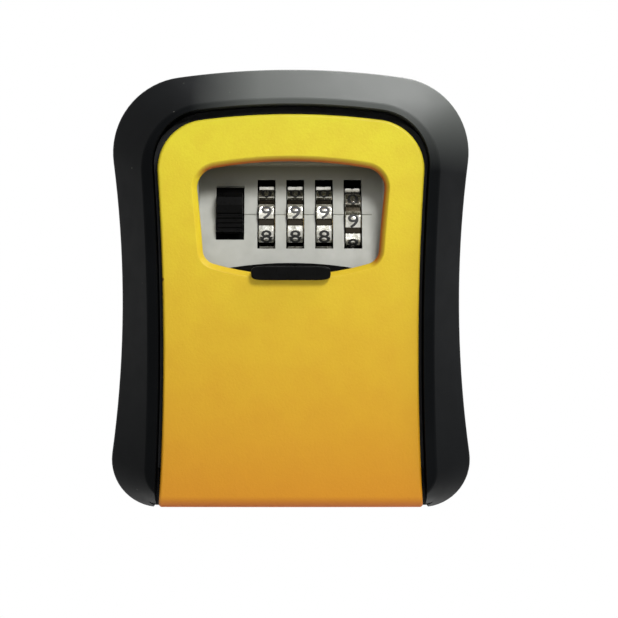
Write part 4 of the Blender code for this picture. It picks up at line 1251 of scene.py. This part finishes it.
@dataclass
class FineCopies:
    """Pieces whose node has the right shape: copied, merged, and given rounded edges."""

    plan: Plan
    shop: PaintShop
    nodes: dict[str, bpy.types.Object]
    recipes: dict[str, tuple[Coat, float]] = field(default_factory=lambda: {
        "faceplate": (Coat.FACEPLATE, 0.16 * MM),
        "release_lever": (Coat.BLACK, 0.2 * MM),
        "case_body": (Coat.CASE, 0.3 * MM),
        "mechanism_cover": (Coat.BLACK, 0.3 * MM),
        "shutter_guide": (Coat.STEEL, 0.12 * MM),
        "latch_plate": (Coat.STEEL, 0.08 * MM),
        "latch_keeper": (Coat.STEEL, 0.2 * MM),
        "reset_lever": (Coat.BRASS, 0.2 * MM),
        "click_spring": (Coat.STEEL, 0.0),
        "hinge_pin": (Coat.STEEL, 0.25 * MM),
        "spindle": (Coat.STEEL, 0.25 * MM),
    })
    ring_faced: tuple[str, ...] = ("mechanism_cover", "latch_plate")
    slot_end: tuple[float, float] = (27.2 * MM, 28.7 * MM)

    def build(self) -> None:
        """Make a fine copy of each piece and of each cam and screw."""
        for name, (coat, width) in self.recipes.items():
            self.copy(name, coat, width)
        for index in range(1, 5):
            self.copy(f"cam_{index}", Coat.BRASS, 0.1 * MM)
        screws = [name for name in sorted(self.nodes) if "_screw" in name]
        for name in screws:
            self.copy(name, Coat.STEEL, 0.12 * MM)

    def copy(self, node: str, coat: Coat, width: float) -> None:
        """Replace a node by a merged copy with softened edges.

        Args:
            node: The node's name.
            coat: Its finish.
            width: Width of the rounding on its edges.
        """
        source = self.nodes[node]
        piece = source.copy()
        piece.data = source.data.copy()
        piece.parent = None
        piece.matrix_world = Matrix.Identity(4)
        for key in list(piece.keys()):
            del piece[key]
        piece.name = piece.data.name = f"{node}_fine"
        bpy.context.scene.collection.objects.link(piece)
        if node == "faceplate":
            self.lengthen_slots(piece)
        if node == "case_body":
            self.trim_lip(piece)
        soften(piece, width, 2, 24.0, node not in self.ring_faced)
        self.shop.dress(piece, coat)
        fit(piece, source["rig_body"], coat, node)

    @staticmethod
    def merge(piece: bpy.types.Object) -> None:
        """Merge the loose triangles of a copy into one closed mesh.

        Args:
            piece: The copy.
        """
        take(piece)
        bpy.ops.object.mode_set(mode="EDIT")
        bpy.ops.mesh.select_all(action="SELECT")
        bpy.ops.mesh.remove_doubles(threshold=WELD)
        bpy.ops.object.mode_set(mode="OBJECT")

    def trim_lip(self, piece: bpy.types.Object) -> None:
        """Trim the case's lip to the opening of the surround.

        Args:
            piece: The copy of the case.
        """
        self.merge(piece)
        front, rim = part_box("case_body")[0][1] - 1 * MM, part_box("door_panel")[0][1] + RIM_DEPTH
        ring = block("ring", (-60 * MM, 60 * MM), (front, rim), (-20 * MM, 70 * MM))
        shape(ring, Cut.AWAY, slab("ring_hole", self.plan.opening.grown(-0.25 * MM),
                                   front - 1 * MM, rim + 1 * MM))
        shape(piece, Cut.AWAY, ring)

    def lengthen_slots(self, piece: bpy.types.Object) -> None:
        """Carry each dial slot a little further up the sloping floor.

        Args:
            piece: The copy of the faceplate.
        """
        self.merge(piece)
        for index in range(1, 5):
            low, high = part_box(f"dial_{index}")
            middle, half = (low[0] + high[0]) / 2, (high[0] - low[0]) / 2 + 0.25 * MM
            shape(piece, Cut.AWAY, block("slot_end", (middle - half, middle + half),
                                         (high[1] - 16.5 * MM, high[1] - 12 * MM), self.slot_end))


@dataclass
class LeverSpring:
    """The lever's return spring, a round-wire coil, drawn at rest; it does not shorten as the lever comes
    down.
    """

    shop: PaintShop
    turns: float = 5.0
    wire: float = 0.25 * MM
    coil: float = 1.5 * MM
    tilt: float = math.radians(16.0)
    travel: float = 3.0 * MM

    def build(self) -> None:
        """Wind the spring by extruding a small circle round its axis."""
        low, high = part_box("lever_spring")
        up = Vector((0.0, math.sin(self.tilt), math.cos(self.tilt)))
        centre = (Vector(low) + Vector(high)) / 2
        reach = self.coil + self.wire
        length = ((high[2] - low[2]) - 2 * reach * math.sin(self.tilt)) / math.cos(self.tilt)
        foot = centre - up * (length / 2 - self.wire)
        side = Vector((1.0, 0.0, 0.0))
        back = up.cross(side)
        steps, ring = int(self.turns * 24), 10
        loops = []
        for step in range(steps + 1):
            angle = math.tau * self.turns * step / steps
            out = side * math.cos(angle) + back * math.sin(angle)
            middle = foot + up * ((length - 2 * self.wire) * step / steps) + out * self.coil
            loops.append([middle + self.wire * (out * math.cos(math.tau * point / ring)
                                                + up * math.sin(math.tau * point / ring))
                          for point in range(ring)])
        piece = draw_through("return_spring", loops)
        take(piece)
        bpy.ops.object.shade_smooth_by_angle(angle=math.radians(40.0))
        self.shop.dress(piece, Coat.STEEL)
        fit(piece, "door", Coat.STEEL, "lever_spring")
        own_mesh(piece)


# ---------------------------------------------------------------- the studio

@dataclass
class Softbox:
    """A rectangular lamp."""

    name: str
    place: Vector
    aim: Vector
    width: float
    height: float
    power: float

    def hang(self) -> None:
        """Add the lamp and point it at its aim."""
        light = bpy.data.lights.new(self.name, "AREA")
        light.shape = "RECTANGLE"
        light.size, light.size_y = self.width, self.height
        light.energy = self.power
        lamp = bpy.data.objects.new(self.name, light)
        lamp.location = self.place
        lamp.rotation_euler = (self.aim - self.place).to_track_quat("-Z", "Y").to_euler()
        bpy.context.scene.collection.objects.link(lamp)


@dataclass
class Studio:
    """Camera, lamps, background and floor."""

    distance: float = 0.400
    lens: float = 90.85
    shift: tuple[float, float] = (0.0294, -0.0332)
    ambient: float = 0.20
    floor_drop: float = 0.11
    floor_size: float = 0.6

    def build(self) -> None:
        """Set the studio up."""
        scene = bpy.context.scene
        scene.view_settings.view_transform = "Standard"
        self.set_camera(scene)
        self.set_world(scene)
        self.lay_floor()
        for lamp in (
                Softbox("key", Vector((0.20, -0.52, 0.44)), Vector((0.0, -0.03, 0.0)), 0.24, 0.22, 3.5),
                Softbox("fill", Vector((0.0, -1.10, 0.15)), Vector((0.0, -0.03, 0.0)), 1.0, 0.8, 0.5),
                Softbox("rim", Vector((0.21, 0.10, 0.42)), Vector((0.01, -0.03, 0.05)), 0.58, 0.26, 7.2)):
            lamp.hang()

    def set_camera(self, scene: bpy.types.Scene) -> None:
        """Place the camera in front of the door, level with its middle.

        Args:
            scene: The scene.
        """
        camera = bpy.data.objects.new("camera", bpy.data.cameras.new("camera"))
        scene.collection.objects.link(camera)
        camera.location = (0.0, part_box("door_panel")[0][1] - self.distance, 0.0)
        camera.rotation_euler = (math.pi / 2, 0.0, 0.0)
        camera.data.lens = self.lens
        camera.data.shift_x, camera.data.shift_y = self.shift
        camera.data.clip_start = 0.01
        scene.camera = camera

    def set_world(self, scene: bpy.types.Scene) -> None:
        """Make the world white where it is seen and dimmer where it lights.

        Args:
            scene: The scene.
        """
        world = bpy.data.worlds.new("studio")
        scene.world = world
        world.use_nodes = True
        tree = world.node_tree
        background = tree.nodes["Background"]
        background.inputs["Color"].default_value = (1.0, 1.0, 1.0, 1.0)
        path = tree.nodes.new("ShaderNodeLightPath")
        seen = path.outputs["Is Camera Ray"]
        for other in ("Is Glossy Ray", "Is Transmission Ray"):
            either = tree.nodes.new("ShaderNodeMath")
            either.operation = "MAXIMUM"
            tree.links.new(seen, either.inputs[0])
            tree.links.new(path.outputs[other], either.inputs[1])
            seen = either.outputs[0]
        level = tree.nodes.new("ShaderNodeMapRange")
        level.inputs["To Min"].default_value = self.ambient
        level.inputs["To Max"].default_value = 1.0
        tree.links.new(seen, level.inputs["Value"])
        tree.links.new(level.outputs["Result"], background.inputs["Strength"])

    def lay_floor(self) -> None:
        """Lay a pale floor below the key safe, fading to white where it is seen far out."""
        deselect()
        bpy.ops.mesh.primitive_plane_add(size=self.floor_size,
                                         location=(0.0, 0.0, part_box("shroud")[0][2] - self.floor_drop))
        floor = bpy.context.object
        floor.name = "floor"
        sheet = Sheet("floor_paper")
        sheet.plain((0.86, 0.86, 0.85), 0.9, specular=0.1)
        reach = sheet.add("ShaderNodeVectorMath", operation="LENGTH")
        sheet.link(sheet.place, reach.inputs[0])
        fade = sheet.spread(reach.outputs["Value"], 0.0, 1.0,
                            (self.floor_size * 0.22, self.floor_size * 0.46))
        glow = sheet.add("ShaderNodeEmission")
        mix = sheet.add("ShaderNodeMixShader")
        path = sheet.add("ShaderNodeLightPath")
        seen = sheet.join("MAXIMUM", path.outputs["Is Camera Ray"], path.outputs["Is Glossy Ray"],
                          path.outputs["Is Transmission Ray"])
        sheet.link(sheet.join("MULTIPLY", fade, seen), mix.inputs["Fac"])
        sheet.link(sheet.shader.outputs["BSDF"], mix.inputs[1])
        sheet.link(glow.outputs["Emission"], mix.inputs[2])
        sheet.link(mix.outputs["Shader"], sheet.tree.nodes["Material Output"].inputs["Surface"])
        floor.data.materials.append(sheet.material)


def main() -> None:
    """Build the studio and every piece."""
    logging.basicConfig(level=logging.INFO, format="%(name)s: %(message)s")
    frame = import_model()
    Studio().build()
    shop = PaintShop()
    plan = Plan()
    Surround(plan, shop).build()
    Door(plan, shop).build()
    Shutter(shop).build()
    Dials(shop).build()
    FineCopies(plan, shop, frame["nodes"]).build()
    LeverSpring(shop).build()
    deselect()


if __name__ == "__main__":
    main()
